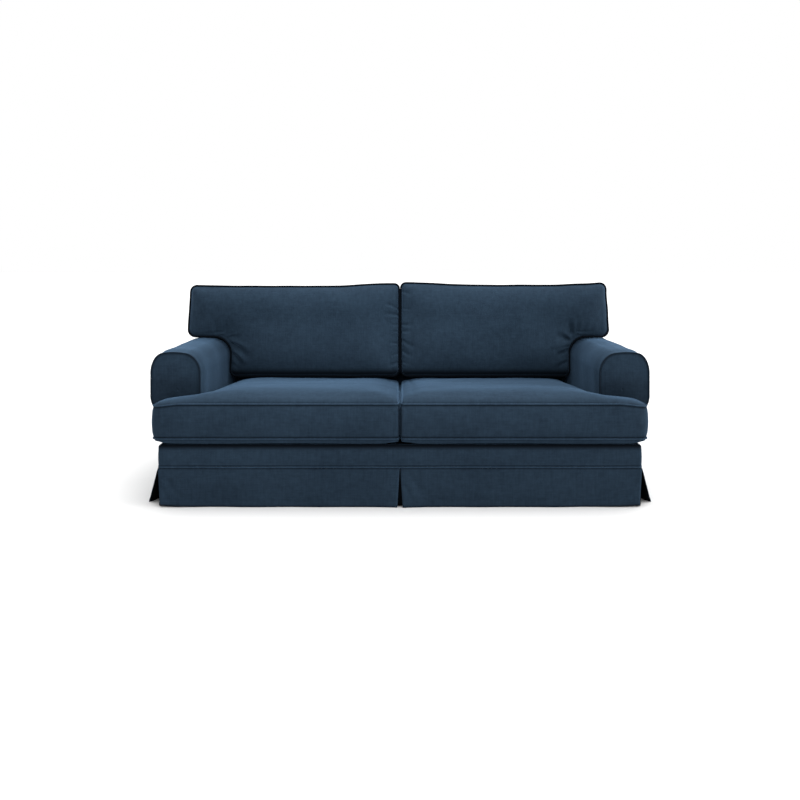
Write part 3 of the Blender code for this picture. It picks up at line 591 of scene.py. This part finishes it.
# swing, lean and rise each have one value at the panel's start and one at its end
skirtPanels = {
    "skirt_front_left": {
        "start": -1.002, "end": -0.0012, "swing": (0.003, 0.004), "lean": (0.01, -0.01),
        "rise": (0.008, 0.0), "turn": 0, "seam": -frontY, "seed": 51,
        "folds": [(-975, 115, -885, 12, 17, 5.2, 6), (-990, 75, -945, 5, 12, 3.4, 4),
                  (-440, 150, -330, 10, 26, 2, 10), (-700, 150, -760, 10, 30, 1.6, 10)]},
    "skirt_front_right": {
        "start": 0.0012, "end": 1.002, "swing": (0.006, 0.0), "lean": (0.01, -0.01),
        "rise": (0.0, 0.008), "turn": 0, "seam": -frontY, "seed": 52,
        "folds": [(40, 140, 120, 8, 17, 6, 6), (18, 85, 65, 6, 12, 4.2, 4),
                  (400, 150, 480, 10, 28, 2, 10), (985, 110, 920, 8, 16, 3, 6)]},
    "skirt_side_right": {
        "start": -0.47, "end": 0.47, "swing": (0.054, 0.008), "lean": (0.058, -0.008),
        "rise": (0.0, 0.004), "turn": 90, "seam": halfWidth, "seed": 53,
        "folds": [(-430, 155, -290, 10, 22, 5, 10), (50, 155, 120, 10, 28, 2.4, 8)]},
    "skirt_side_left": {
        "start": -0.47, "end": 0.47, "swing": (0.008, 0.054), "lean": (0.008, -0.058),
        "rise": (0.004, 0.0), "turn": -90, "seam": halfWidth, "seed": 54,
        "folds": [(430, 155, 290, 10, 22, 5, -10), (-80, 155, -150, 10, 28, 2.4, 8)]},
    "skirt_back": {
        "start": -1.002, "end": 1.002, "swing": (0.0, 0.0), "lean": (0.01, -0.01),
        "rise": (0.006, 0.006), "turn": 180, "seam": backY, "seed": 55,
        "folds": [(-960, 140, -880, 10, 18, 4, 6), (950, 150, 860, 10, 18, 3.6, 6),
                  (100, 150, 220, 10, 30, 2.2, 10)]},
}


def buildSkirtPanel(name, panel):
    start, end = panel["start"], panel["end"]
    across = int((end - start) / skirt["step"])
    along, drop = np.meshgrid(np.linspace(start, end, across + 1), np.linspace(0, 1, 41))
    nearStart = np.exp((start - along) / skirt["reach"]) * drop
    nearEnd = np.exp((along - end) / skirt["reach"]) * drop
    out = skirt["flare"] * drop + panel["swing"][0] * nearStart + panel["swing"][1] * nearEnd
    out -= skirt["ripple"] * drop * (0.5 - 0.5 * np.cos(2 * math.pi * along / skirt["rippleLength"]))
    out += skirt["uneven"] * drop * waves(along, drop * 0.1, 0.22, panel["seed"])
    z = skirtTopZ * (1.0 - drop)
    out -= troughs(along, z, panel["folds"]) * ease(drop, 0.02, 0.4)
    # the hems are folded back and stitched: thicker beyond the stitch line, with a groove on it
    fromSide = np.minimum(along - start, end - along)
    for depthIn, hem in ((z, skirt["hem"]), (fromSide, skirt["sideHem"])):
        folded = 1.0 - ease(depthIn, hem - 0.003, hem + 0.001)
        stitched = ridge(depthIn, hem, skirt["stitchWidth"])
        out += skirt["hemRise"] * (folded - stitched) * ease(drop, 0.0, 0.1)
    slide = panel["lean"][0] * nearStart + panel["lean"][1] * nearEnd
    lift = panel["rise"][0] * nearStart + panel["rise"][1] * nearEnd
    turn = math.radians(panel["turn"])
    x = along + slide
    y = -out - panel["seam"]
    points = np.stack([x * math.cos(turn) - y * math.sin(turn), x * math.sin(turn) + y * math.cos(turn),
                       z + lift], axis=-1)
    material = brushedNavyArms if abs(panel["turn"]) == 90 else brushedNavy
    # painted shade just under the cord and along the bottom of the hem
    shade = 0.7 * ridge(drop, 0.0, 0.025) + ridge(drop, 1.0, 0.03)
    clothSheet(f"{name}_panel", points, (0, 0, 0.1), material, name, shade=shade)


pleat = {"leg": 0.095, "hemZ": 0.003, "give": 0.004}


def buildPleats():
    # the inserts behind the openings: one at each corner, and one in the middle of the front
    # the inserts are dark reverse cloth, painted shade for the shadow behind the openings
    z = np.linspace(pleat["hemZ"], skirtTopZ, 20)
    for sideName, side in sides.items():
        for endName, endY, outwardY in (("front", frontY, -1), ("back", backY, 1)):
            corner, _ = baseCorner(side, endY, outwardY, seamIn)
            first = corner[0] - [0, outwardY * pleat["leg"]]
            last = corner[-1] - [side * pleat["leg"], 0]
            plan = evenly(joined([first], corner, [last]), 48)
            points = np.zeros((len(z), len(plan), 3))
            points[:, :, :2] = plan
            points[:, :, 2] = z[:, None]
            clothSheet(f"pleat_{endName}_{sideName}_insert", points, (0, 0, 0.1), shadedNavyReverse,
                       f"pleat_{endName}_{sideName}")
    x, gridZ = np.meshgrid(np.linspace(-pleat["leg"], pleat["leg"], 41), z)
    give = pleat["give"] * (1.0 - gridZ / skirtTopZ) * np.cos(x * 14)
    points = np.stack([x, frontY + seamIn + give, gridZ], axis=-1)
    clothSheet("pleat_centre_insert", points, (0, 0, 0.1), shadedNavyReverse, "pleat_centre")


def buildSkirtSeam():
    plan = []
    for side, endY, outwardY in ((1, frontY, -1), (-1, frontY, -1), (-1, backY, 1), (1, backY, 1)):
        corner, _ = baseCorner(side, endY, outwardY, 0.0, 6)
        plan += list(corner if side * outwardY < 0 else corner[::-1])
    ring = evenly(np.vstack([plan, plan[:1]]), 420)[:-1]
    line = [(x, y, skirtSeamZ + 0.0005 * math.sin(9 * x + 4 * y)) for x, y in ring]
    cordPiece("skirt_seam", line, skirtCordR, True, litNavyCord, "skirt_welt")


def roundedPath(corners, step=0.006):
    # a closed plan outline from square corners and their radii
    count = len(corners)
    runs = []
    for index, (x, y, radius) in enumerate(corners):
        here = np.array([x, y])
        before = corners[index - 1][:2] - here
        after = corners[(index + 1) % count][:2] - here
        before /= lengths(before)
        after /= lengths(after)
        centre = here + (before + after) * radius
        sweep = np.linspace(0, math.pi / 2, 9)[:, None]
        runs.append(centre - after * radius * np.cos(sweep) - before * radius * np.sin(sweep))
    path = np.vstack(runs + [runs[0][:1]])
    return evenly(path, int(spans(path).sum() / step))[:-1]


seat = {
    "frontY": frontY - 0.004, "centreX": 0.0066, "sideX": 0.856, "earX": 1.027,
    "earBackY": armFrontY - 0.012, "rearY": 0.318, "topZ": 0.424, "lowZ": 0.283,
    # the top slopes down under the back cushion, and its ends hang a little
    "slopeY": frontY + 0.05, "restY": 0.19, "dip": 0.0465,
    "droop": 0.012, "sideDroop": 0.01, "earDroop": 0.01,
    "weltR": 0.0028, "weltOut": 0.6, "tuck": 0.28,
    "edgeRise": 0.0034, "innerRise": 0.0032, "belly": 0.005, "drawnIn": 0.0022,
    "uneven": 0.0026, "frontUneven": 0.0009,
    "voxel": 0.0105, "pressure": 2.4, "cap": 0.008, "keep": 0.6, "fill": 0.8, "smoothing": 16,
}
# how the top of the solid falls towards the back
solidDip = {"slopeY": frontY + 0.2, "restY": 0.125, "dip": 0.037}


def seatDip(y):
    # a slope that grows towards the back cushion
    share = np.clip((y - seat["slopeY"]) / (seat["restY"] - seat["slopeY"]), 0, 1)
    return seat["dip"] * share ** 1.45


def seatSeamZ(x, y):
    ends = seat["droop"] * (1.0 - ease(x, 0.012, 0.1)) + seat["sideDroop"] * ease(x, 0.79, 0.853)
    droop = ends * ease(y, frontY + 0.2, seat["restY"])
    return seat["topZ"] - seatDip(y) - droop - seat["earDroop"] * ease(x, 0.9, seat["earX"])


def settled(co):
    # the seat's filling lies flatter than in the solid
    y, z = co[:, 1], co[:, 2]
    before = solidDip["dip"] * ease(y, solidDip["slopeY"], solidDip["restY"])
    share = np.clip((z - seat["lowZ"]) / (seat["topZ"] - before - seat["lowZ"]), 0, 1)
    return stacked(co[:, 0], y, z + (before - seatDip(y)) * share)


def seatSeams(side):
    s = seat
    plan = roundedPath([(s["centreX"], s["frontY"], 0.014), (s["earX"], s["frontY"], 0.028),
                        (s["earX"], s["earBackY"], 0.035), (s["sideX"], s["earBackY"], 0.004),
                        (s["sideX"], s["rearY"], 0.03), (s["centreX"], s["rearY"], 0.03)])
    out = facings(plan, True)
    x, y = plan.T
    top = stacked(side * x, y, seatSeamZ(x, y))
    low = stacked(side * x, y, np.full(len(x), s["lowZ"]))
    away = stacked(side * out[:, 0], out[:, 1], np.zeros(len(x)))
    return {"high": (top, away, 1.0), "low": (low, away, -1.0)}


# creases are given as distance from the middle and height
back = {
    "centreX": 0.0072, "sideX": 0.856, "footZ": 0.4335, "topZ": 0.886, "earZ": 0.6315, "depth": 0.158,
    "rest": 0.0095, "slope": 0.018, "rise": 0.013, "weltR": 0.0047, "weltOut": 0.55,
    "wander": 0.0013, "tuck": 0.006, "uneven": 0.0026, "edgeRise": 0.0042, "rollOver": 0.02,
    "voxel": 0.009, "pressure": 2.4, "cap": 0.01, "keep": 0.6, "fill": 0.65, "smoothing": 18,
    "left": {
        "earX": 1.072, "cornerRise": 0.004, "sag": 0.006, "taper": 0.009,
        "pinch": {"at": (0.864, 0.642), "reach": 0.06, "depth": 0.014},
        "creases": [
            (868, 624, 788, 632, 8, -5.5, 2), (858, 594, 760, 530, 15, -19, 6),
            (850, 548, 790, 472, 15, -18, 4), (850, 500, 805, 460, 8, -4.5, 2),
            (930, 645, 942, 735, 13, -6, -4), (885, 638, 868, 730, 12, -6.5, 4),
            (900, 651, 1020, 648, 8, -6, 1), (14, 768, 78, 798, 7, -9, -6),
            (14, 738, 82, 747, 8, -11.2, -3), (14, 690, 55, 694, 6, -6, 2),
            (14, 656, 60, 660, 6, -5.4, 2), (14, 596, 62, 600, 7, -6.6, -2),
            (14, 545, 50, 540, 6, -5.1, 2), (14, 502, 60, 488, 8, -7.5, 2)]},
    "right": {
        "earX": 1.054, "cornerRise": 0.011, "sag": 0.001, "taper": 0.008,
        "pinch": {"at": (0.864, 0.642), "reach": 0.055, "depth": 0.014},
        "creases": [
            (873, 644, 842, 724, 13, -15, 4), (858, 609, 780, 638, 14, -16, 4),
            (850, 582, 748, 566, 9, -5.5, -3), (846, 562, 784, 540, 12, -14, -2),
            (840, 505, 776, 464, 12, -6, 4), (893, 650, 886, 740, 12, -6, 3),
            (930, 650, 935, 735, 12, -4.5, 3), (900, 655, 1020, 660, 8, -5.5, 1),
            (14, 858, 72, 845, 9, -6, 3), (14, 773, 66, 771, 7, -6, 2),
            (14, 690, 72, 696, 8, -10.5, 3), (14, 657, 56, 661, 7, -7.5, 2),
            (14, 614, 78, 578, 9, -12, 4), (14, 560, 66, 532, 8, -9, 3),
            (14, 504, 50, 500, 7, -6, 2)]},
}


def backPlace(x, z, out, which):
    # a point of a back cushion's seam, from its outline and how far it stands out
    b = back
    centreRise = b["rise"] * (1.0 - ease(x, 0.03, 0.4))
    earRise = which["cornerRise"] * ease(x, 0.75, which["earX"])
    slope = b["slope"] * (1.0 - np.minimum(out / b["depth"], 1.0))
    height = z + (centreRise + earRise - which["sag"] - slope) * ease(z, b["earZ"], b["topZ"])
    across = x - which["taper"] * ease(x, 0.88, which["earX"]) * ease(z, b["earZ"] + 0.02, b["topZ"])
    return stacked(across, insideBackY(height) - gap - out, height)


def backSeams(side, which):
    b = back
    plan = roundedPath([(b["centreX"], b["footZ"], 0.03), (b["sideX"], b["footZ"], 0.03),
                        (b["sideX"], b["earZ"], 0.085), (which["earX"], b["earZ"], 0.035),
                        (which["earX"], b["topZ"], 0.028), (b["centreX"], b["topZ"], 0.022)])
    facing = facings(plan, True)
    wander = b["wander"] * waves(plan[:, 0], plan[:, 1], 0.15, 97 + side) * ease(plan[:, 0], 0.02, 0.08)
    plan += facing * wander[:, None]
    # squeezed by the seat and the arm, the front seam lies further back there
    low = 1.0 - ease(plan[:, 1], b["footZ"] + 0.005, b["footZ"] + 0.06)
    beside = ease(plan[:, 0], b["sideX"] - 0.02, b["sideX"] - 0.004)
    beside *= 1.0 - ease(plan[:, 1], b["earZ"] - 0.11, b["earZ"] - 0.03)
    squeezed = b["tuck"] * np.maximum(low, beside)
    reach = b["weltR"] * b["weltOut"]
    x, z = (plan + facing * reach).T
    seams = {}
    for name, out, lift in (("rear", b["rest"], -1.0), ("front", b["depth"], 1.0)):
        depth = out - squeezed * (lift > 0)
        welt = backPlace(x, z, depth + lift * reach, which)
        seam = backPlace(plan[:, 0], plan[:, 1], depth, which)
        seams[name] = {"welt": welt * [side, 1, 1], "seam": seam * [side, 1, 1]}
    return seams


def remeshed(node, voxel):
    # the solid's surface as small even faces
    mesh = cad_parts[node].data.copy()
    mesh.materials.clear()
    shape = bmesh.new()
    shape.from_mesh(mesh)
    bmesh.ops.remove_doubles(shape, verts=shape.verts, dist=1e-5)
    shape.to_mesh(mesh)
    shape.free()
    rough = placed(f"{node}_remesh", mesh)
    remesh = rough.modifiers.new("remesh", "REMESH")
    remesh.mode = "VOXEL"
    remesh.voxel_size = voxel
    graph = bpy.context.evaluated_depsgraph_get()
    fine = bpy.data.meshes.new_from_object(rough.evaluated_get(graph))
    bpy.data.objects.remove(rough)
    return fine


def perVertex(mesh, kind):
    values = np.zeros(len(mesh.vertices) * 3, np.float32)
    mesh.vertices.foreach_get(kind, values)
    return values.reshape(-1, 3).astype(float)


def setCoordinates(mesh, co):
    mesh.vertices.foreach_set("co", co.astype(np.float32).ravel())
    mesh.update()


def seamSpots(seams, step=0.0015):
    # points along the seams, and how far round its seam each one lies
    spots = []
    rounds = []
    for seam in seams:
        loop = np.vstack([seam, seam[:1]])
        fine = evenly(loop, int(spans(loop).sum() / step))
        spots.append(fine)
        rounds.append(np.arange(len(fine)) * step)
    return np.vstack(spots), np.concatenate(rounds)


def toSeam(co, spots):
    # for each vertex its distance to the nearest seam point, and which one that is
    tree = KDTree(len(spots))
    for index, spot in enumerate(spots):
        tree.insert(spot, index)
    tree.balance()
    found = [tree.find(point)[1:] for point in co.tolist()]
    return np.array([hit[1] for hit in found]), np.array([hit[0] for hit in found])


def fitToSeams(mesh, co, spots):
    # the surface moved so that its edges run through the seams, and less and less away from them
    surface = BVHTree.FromPolygons(co.tolist(), [tuple(face.vertices) for face in mesh.polygons])
    shift = np.array([spot - np.array(surface.find_nearest(spot)[0]) for spot in spots])
    blur = np.hanning(15)
    shift = stacked(*[np.convolve(shift[:, axis], blur / blur.sum(), "same") for axis in range(3)])
    near, index = toSeam(co, spots)
    return co + shift[index] * (1.0 - ease(near, 0.004, 0.045))[:, None]


def smoothed(mesh, co, turns, weight):
    # evens the surface out, each vertex moving towards the middle of its neighbours
    pairs = np.zeros(len(mesh.edges) * 2, np.int32)
    mesh.edges.foreach_get("vertices", pairs)
    first, second = pairs.reshape(-1, 2).T
    count = np.bincount(pairs, minlength=len(co))
    for turn in range(turns):
        middle = stacked(*[np.bincount(first, co[second, axis], len(co))
                           + np.bincount(second, co[first, axis], len(co)) for axis in range(3)])
        co = co + (middle / count[:, None] - co) * weight[:, None]
    return co


# the last shaping of all four cushions
cushionEdge = {"onSeam": 0.0034, "gathers": 0.0005, "pressed": 0.0075, "apart": 0.0004}


def cushionPlan():
    plans = {}
    for sideName, side in sides.items():
        seams = [seam for seam, away, lift in seatSeams(side).values()]
        plans[f"seat_cushion_{sideName}"] = {"look": seat, "side": side, "seams": seams}
        which = back[sideName]
        seams = backSeams(side, which)
        seams = [seams["front"]["seam"], seams["rear"]["seam"]]
        plans[f"back_cushion_{sideName}"] = {"look": back, "side": side, "seams": seams, "which": which}
    return plans


def inflate(cushions, frames=20):
    # all four cushions swell together under pressure, held at their seams
    for name, cushion in cushions.items():
        mesh = remeshed(name, cushion["look"]["voxel"])
        pad = placed(f"{name}_filled", mesh)
        cushion["pad"] = pad
        cushion["spots"], cushion["rounds"] = seamSpots(cushion["seams"])
        if cushion["look"] is seat:
            setCoordinates(mesh, settled(perVertex(mesh, "co")))
        for turn in range(2):
            setCoordinates(mesh, fitToSeams(mesh, perVertex(mesh, "co"), cushion["spots"]))
        cushion["rest"] = perVertex(mesh, "co")
        cushion["near"] = toSeam(cushion["rest"], cushion["spots"])[0]
        cushion["moved"] = np.zeros_like(cushion["rest"])
        pins = pad.vertex_groups.new(name="seams")
        for weight, low, high in ((1.0, 0.0, 0.009), (0.6, 0.009, 0.016), (0.25, 0.016, 0.026)):
            chosen = np.nonzero((cushion["near"] >= low) & (cushion["near"] < high))[0]
            pins.add(chosen.tolist(), weight, "REPLACE")
        cloth = pad.modifiers.new("cloth", "CLOTH")
        settings = cloth.settings
        settings.quality = 6
        settings.mass = 0.25
        settings.tension_stiffness = 18
        settings.compression_stiffness = 12
        settings.shear_stiffness = 6
        settings.bending_stiffness = 1.5
        settings.use_pressure = True
        settings.uniform_pressure_force = cushion["look"]["pressure"]
        settings.vertex_group_mass = "seams"
        settings.effector_weights.gravity = 0.0
        cloth.collision_settings.use_collision = False
        cloth.point_cache.frame_start = 1
        cloth.point_cache.frame_end = frames
    for step in range(1, frames + 1):
        bpy.context.scene.frame_set(step)
    graph = bpy.context.evaluated_depsgraph_get()
    for cushion in cushions.values():
        swollen = bpy.data.meshes.new_from_object(cushion["pad"].evaluated_get(graph))
        cushion["moved"] = perVertex(swollen, "co") - cushion["rest"]
        bpy.data.meshes.remove(swollen)
    for cushion in cushions.values():
        cushion["pad"].modifiers.clear()
    bpy.context.scene.frame_set(1)


def finerMesh(pad):
    # one subdivision, made real so that the creases can follow it
    finer = pad.modifiers.new("finer", "SUBSURF")
    finer.levels = 1
    graph = bpy.context.evaluated_depsgraph_get()
    graph.update()
    mesh = bpy.data.meshes.new_from_object(pad.evaluated_get(graph))
    pad.modifiers.clear()
    pad.vertex_groups.clear()
    pad.data = mesh
    return mesh


def turnedUnder(co, spot):
    # below the low seam the seat's cover turns under tightly
    inward = co[:, :2] - spot
    closer = seat["tuck"] + (1.0 - seat["tuck"]) * ease(lengths(inward), 0.035, 0.13)
    below = ease(seat["lowZ"] - co[:, 2], 0.0, 0.004)
    return spot + inward * (1.0 + (closer - 1.0) * below)[:, None]


def backRelief(x, z, facingFront, near, side, which):
    creases = troughs(x, z, which["creases"]) + back["uneven"] * waves(x, z, 0.3, 61 + side)
    pinch = which["pinch"]
    spread = ((x - pinch["at"][0]) ** 2 + (z - pinch["at"][1]) ** 2) / pinch["reach"] ** 2
    creases -= pinch["depth"] * np.exp(-spread)
    # the filling stands up just inside the seam
    stands = back["edgeRise"] * ridge(near, 0.022, 0.017) * (1.0 - ease(z, 0.72, 0.85))
    return facingFront * (creases * ease(near, 0.002, 0.014) + stands)


def seatRelief(x, y, z, away, near, side):
    onTop = np.clip(away[:, 2], 0, 1) ** 2
    onFront = np.clip(-away[:, 1], 0, 1) ** 2
    around = np.clip(1.0 - np.abs(away[:, 2]), 0, 1) ** 2
    height = np.clip((z - seat["lowZ"]) / (seatSeamZ(x, y) - seat["lowZ"]), 0, 1)
    relief = seat["edgeRise"] * ridge(near, 0.026, 0.022) * onTop
    relief += seat["innerRise"] * ridge(near, 0.065, 0.045) * onTop
    relief += seat["uneven"] * waves(x, y, 0.34, 71 + side) * onTop * ease(near, 0.006, 0.05)
    relief += seat["frontUneven"] * waves(x, z * 2.0, 0.16, 81 + side) * onFront * ease(near, 0.004, 0.02)
    relief += seat["belly"] * np.sin(math.pi * height) * around
    # drawn in along the seams of the boxing
    return relief - seat["drawnIn"] * ridge(near, 0.006, 0.005) * onFront


def seatShade(co, near):
    # painted shade along the seams, on the underside and where the two seats meet
    under = 1.0 - ease(co[:, 2], deckZ + 0.001, deckZ + 0.008)
    middle = 1.0 - ease(np.abs(co[:, 0]), 0.004, 0.009)
    return np.maximum(np.maximum(0.9 * ridge(near, 0.0, 0.006), under), middle)


def backShade(x, z, away, near):
    # painted shade at the foot, in the middle gap, beside the arm and along the lower seams, where the
    # cushion is pressed in
    pressed = 1.0 - ease(z, back["footZ"] + 0.012, back["footZ"] + 0.05)
    boxing = 1.0 - ease(-away[:, 1], 0.35, 0.75)
    pressed = np.maximum(pressed, boxing * np.maximum(x < 0.05, z < 0.66) * (away[:, 2] < 0.6))
    return np.maximum(0.75 * ridge(near, 0.0, 0.006) * (1.0 - ease(z, 0.7, 0.8)), pressed)


def finishCushion(name, cushion):
    pad, look, side = cushion["pad"], cushion["look"], cushion["side"]
    # the swelling, kept within the cap, and evened out
    size = lengths(cushion["moved"])
    share = np.minimum(1.0, look["cap"] / np.maximum(size, 1e-9)) * look["keep"]
    co = cushion["rest"] + cushion["moved"] * share[:, None]
    co = smoothed(pad.data, co, look["smoothing"], 0.5 * ease(cushion["near"], 0.008, 0.035))
    setCoordinates(pad.data, co)
    mesh = finerMesh(pad)
    co = perVertex(mesh, "co")
    near, index = toSeam(co, cushion["spots"])
    onSeam = near < cushionEdge["onSeam"]
    co[onSeam] = cushion["spots"][index[onSeam]]
    co = smoothed(mesh, co, 3, 0.5 * (ease(near, 0.003, 0.0045) - ease(near, 0.012, 0.02)))
    if look is seat:
        co[:, :2] = turnedUnder(co, cushion["spots"][index, :2])
    setCoordinates(mesh, co)
    away = perVertex(mesh, "normal")
    x, y, z = np.abs(co[:, 0]), co[:, 1].copy(), co[:, 2].copy()
    # small uneven gathers along the seams
    along = cushion["rounds"][index]
    relief = cushionEdge["gathers"] * waves(along, 0.0 * along, 0.03, 91)
    relief *= ridge(near, 0.0, 0.012) * ease(near, 0.002, 0.005)
    if look is seat:
        relief += seatRelief(x, y, z, away, near, side)
    else:
        facingFront = np.clip(-away[:, 1], 0, 1) ** 2
        relief += backRelief(x, z, facingFront, near, side, cushion["which"])
        # at the top the filling rolls over fully
        rolled = (1.0 - np.exp(-near / 0.012)) * facingFront * ease(z, 0.7, 0.85)
        co[:, 1] -= back["rollOver"] * rolled
    # in the middle the boxings press on each other
    middle = (x < 0.05) * ease(np.abs(away[:, 0]), 0.25, 0.6)
    relief += cushionEdge["pressed"] * middle * ease(near, 0.003, 0.02)
    co += away * relief[:, None]
    co[:, 0] = side * np.maximum(co[:, 0] * side, cushionEdge["apart"])
    setCoordinates(mesh, co)
    paintShade(mesh, seatShade(co, near) if look is seat else backShade(x, co[:, 2], away, near))
    mesh.shade_smooth()
    mesh.materials.clear()
    mesh.materials.append(brushedNavy)
    standFor(pad, name)
    print(f"{name}: swelled up to {size.max() * 1000:.1f} mm, {len(mesh.polygons)} faces")


def buildCushionWelts():
    for sideName, side in sides.items():
        for which, (seam, away, lift) in seatSeams(side).items():
            reach = seat["weltR"] * seat["weltOut"]
            line = seam + away * reach + np.array([0, 0, lift * reach])
            cordPiece(f"seat_cord_{which}_{sideName}", line, seat["weltR"], True, litNavyCord,
                      f"seat_welt_{which}_{sideName}")
        for which, lines in backSeams(side, back[sideName]).items():
            cordPiece(f"back_cord_{which}_{sideName}", lines["welt"], back["weltR"], True, darkCord,
                      f"back_welt_{which}_{sideName}")


studio = {
    "floorTone": 0.57,
    "floorHalf": 40.0,
    "surround": 1.0,  # strength of the white surround
    "suns": {
        "top_light": {"from": (0.1, 0.1, 0.98), "strength": 4.22, "spread": 60},
        "side_light": {"from": (0.98, -0.12, 0.13), "strength": 3.6, "spread": 40},
    },
    "backLamp": {"at": (0.0, -2.4, 1.8), "aim": (0.0, 0.17, 0.68), "size": (1.8, 0.4),
                 "power": 4.1, "spread": 34},
    # level, a little above the back, with the lens shifted down
    "camera": {"at": (0.0, frontY - 3.0, 1.038), "lens": 32.6, "sensor": 36.0, "shift": -0.18},
}


def addLight(lamp, at, aim):
    light = placed(lamp.name, lamp)
    light.location = at
    light.rotation_euler = (Vector(aim) - Vector(at)).to_track_quat("-Z", "Y").to_euler()


def buildStudio():
    half = studio["floorHalf"]
    corners = [(-half, -half, 0), (half, -half, 0), (half, half, 0), (-half, half, 0)]
    floorMesh = bpy.data.meshes.new("studio_floor")
    floorMesh.from_pydata(corners, [], [(0, 1, 2, 3)])
    floor = placed("studio_floor", floorMesh)
    floor.location.z = -0.0005
    pale = bpy.data.materials.new("pale floor")
    pale.use_nodes = True
    paint = pale.node_tree.nodes["Principled BSDF"]
    paint.inputs["Base Color"].default_value = (*[studio["floorTone"]] * 3, 1.0)
    paint.inputs["Roughness"].default_value = 0.9
    paint.inputs["Specular IOR Level"].default_value = 0.0
    floorMesh.materials.append(pale)

    world = bpy.data.worlds.new("studio")
    bpy.context.scene.world = world
    world.use_nodes = True
    background = world.node_tree.nodes["Background"]
    background.inputs["Color"].default_value = (1.0, 1.0, 1.0, 1.0)
    background.inputs["Strength"].default_value = studio["surround"]
    bpy.context.scene.view_settings.view_transform = "Standard"

    for name, look in studio["suns"].items():
        sun = bpy.data.lights.new(name, "SUN")
        sun.energy = look["strength"]
        sun.angle = math.radians(look["spread"])
        addLight(sun, look["from"], (0, 0, 0))
    look = studio["backLamp"]
    lamp = bpy.data.lights.new("back_lamp", "AREA")
    lamp.shape = "RECTANGLE"
    lamp.size, lamp.size_y = look["size"]
    lamp.energy = look["power"]
    lamp.spread = math.radians(look["spread"])
    addLight(lamp, look["at"], look["aim"])


def buildCamera():
    look = studio["camera"]
    data = bpy.data.cameras.new("camera")
    data.sensor_width = look["sensor"]
    data.lens = look["lens"]
    data.shift_y = look["shift"]
    camera = placed("camera", data)
    camera.location = look["at"]
    camera.rotation_euler = (math.pi / 2, 0, 0)
    bpy.context.scene.camera = camera


buildCamera()
buildDeck()
buildBand()
buildBack()
for sideName, side in sides.items():
    buildArmCover(sideName, side)
    buildArmFront(sideName, side)
    buildArmWelt(sideName, side)
    buildOutsideArm(sideName, side)
print("body cover made")
for name, panel in skirtPanels.items():
    buildSkirtPanel(name, panel)
buildPleats()
buildSkirtSeam()
print("skirt made")
cushions = cushionPlan()
inflate(cushions)
for name, cushion in cushions.items():
    finishCushion(name, cushion)
buildCushionWelts()
print("cushions made")
buildStudio()
print("studio made")

bpy.context.view_layer.update()
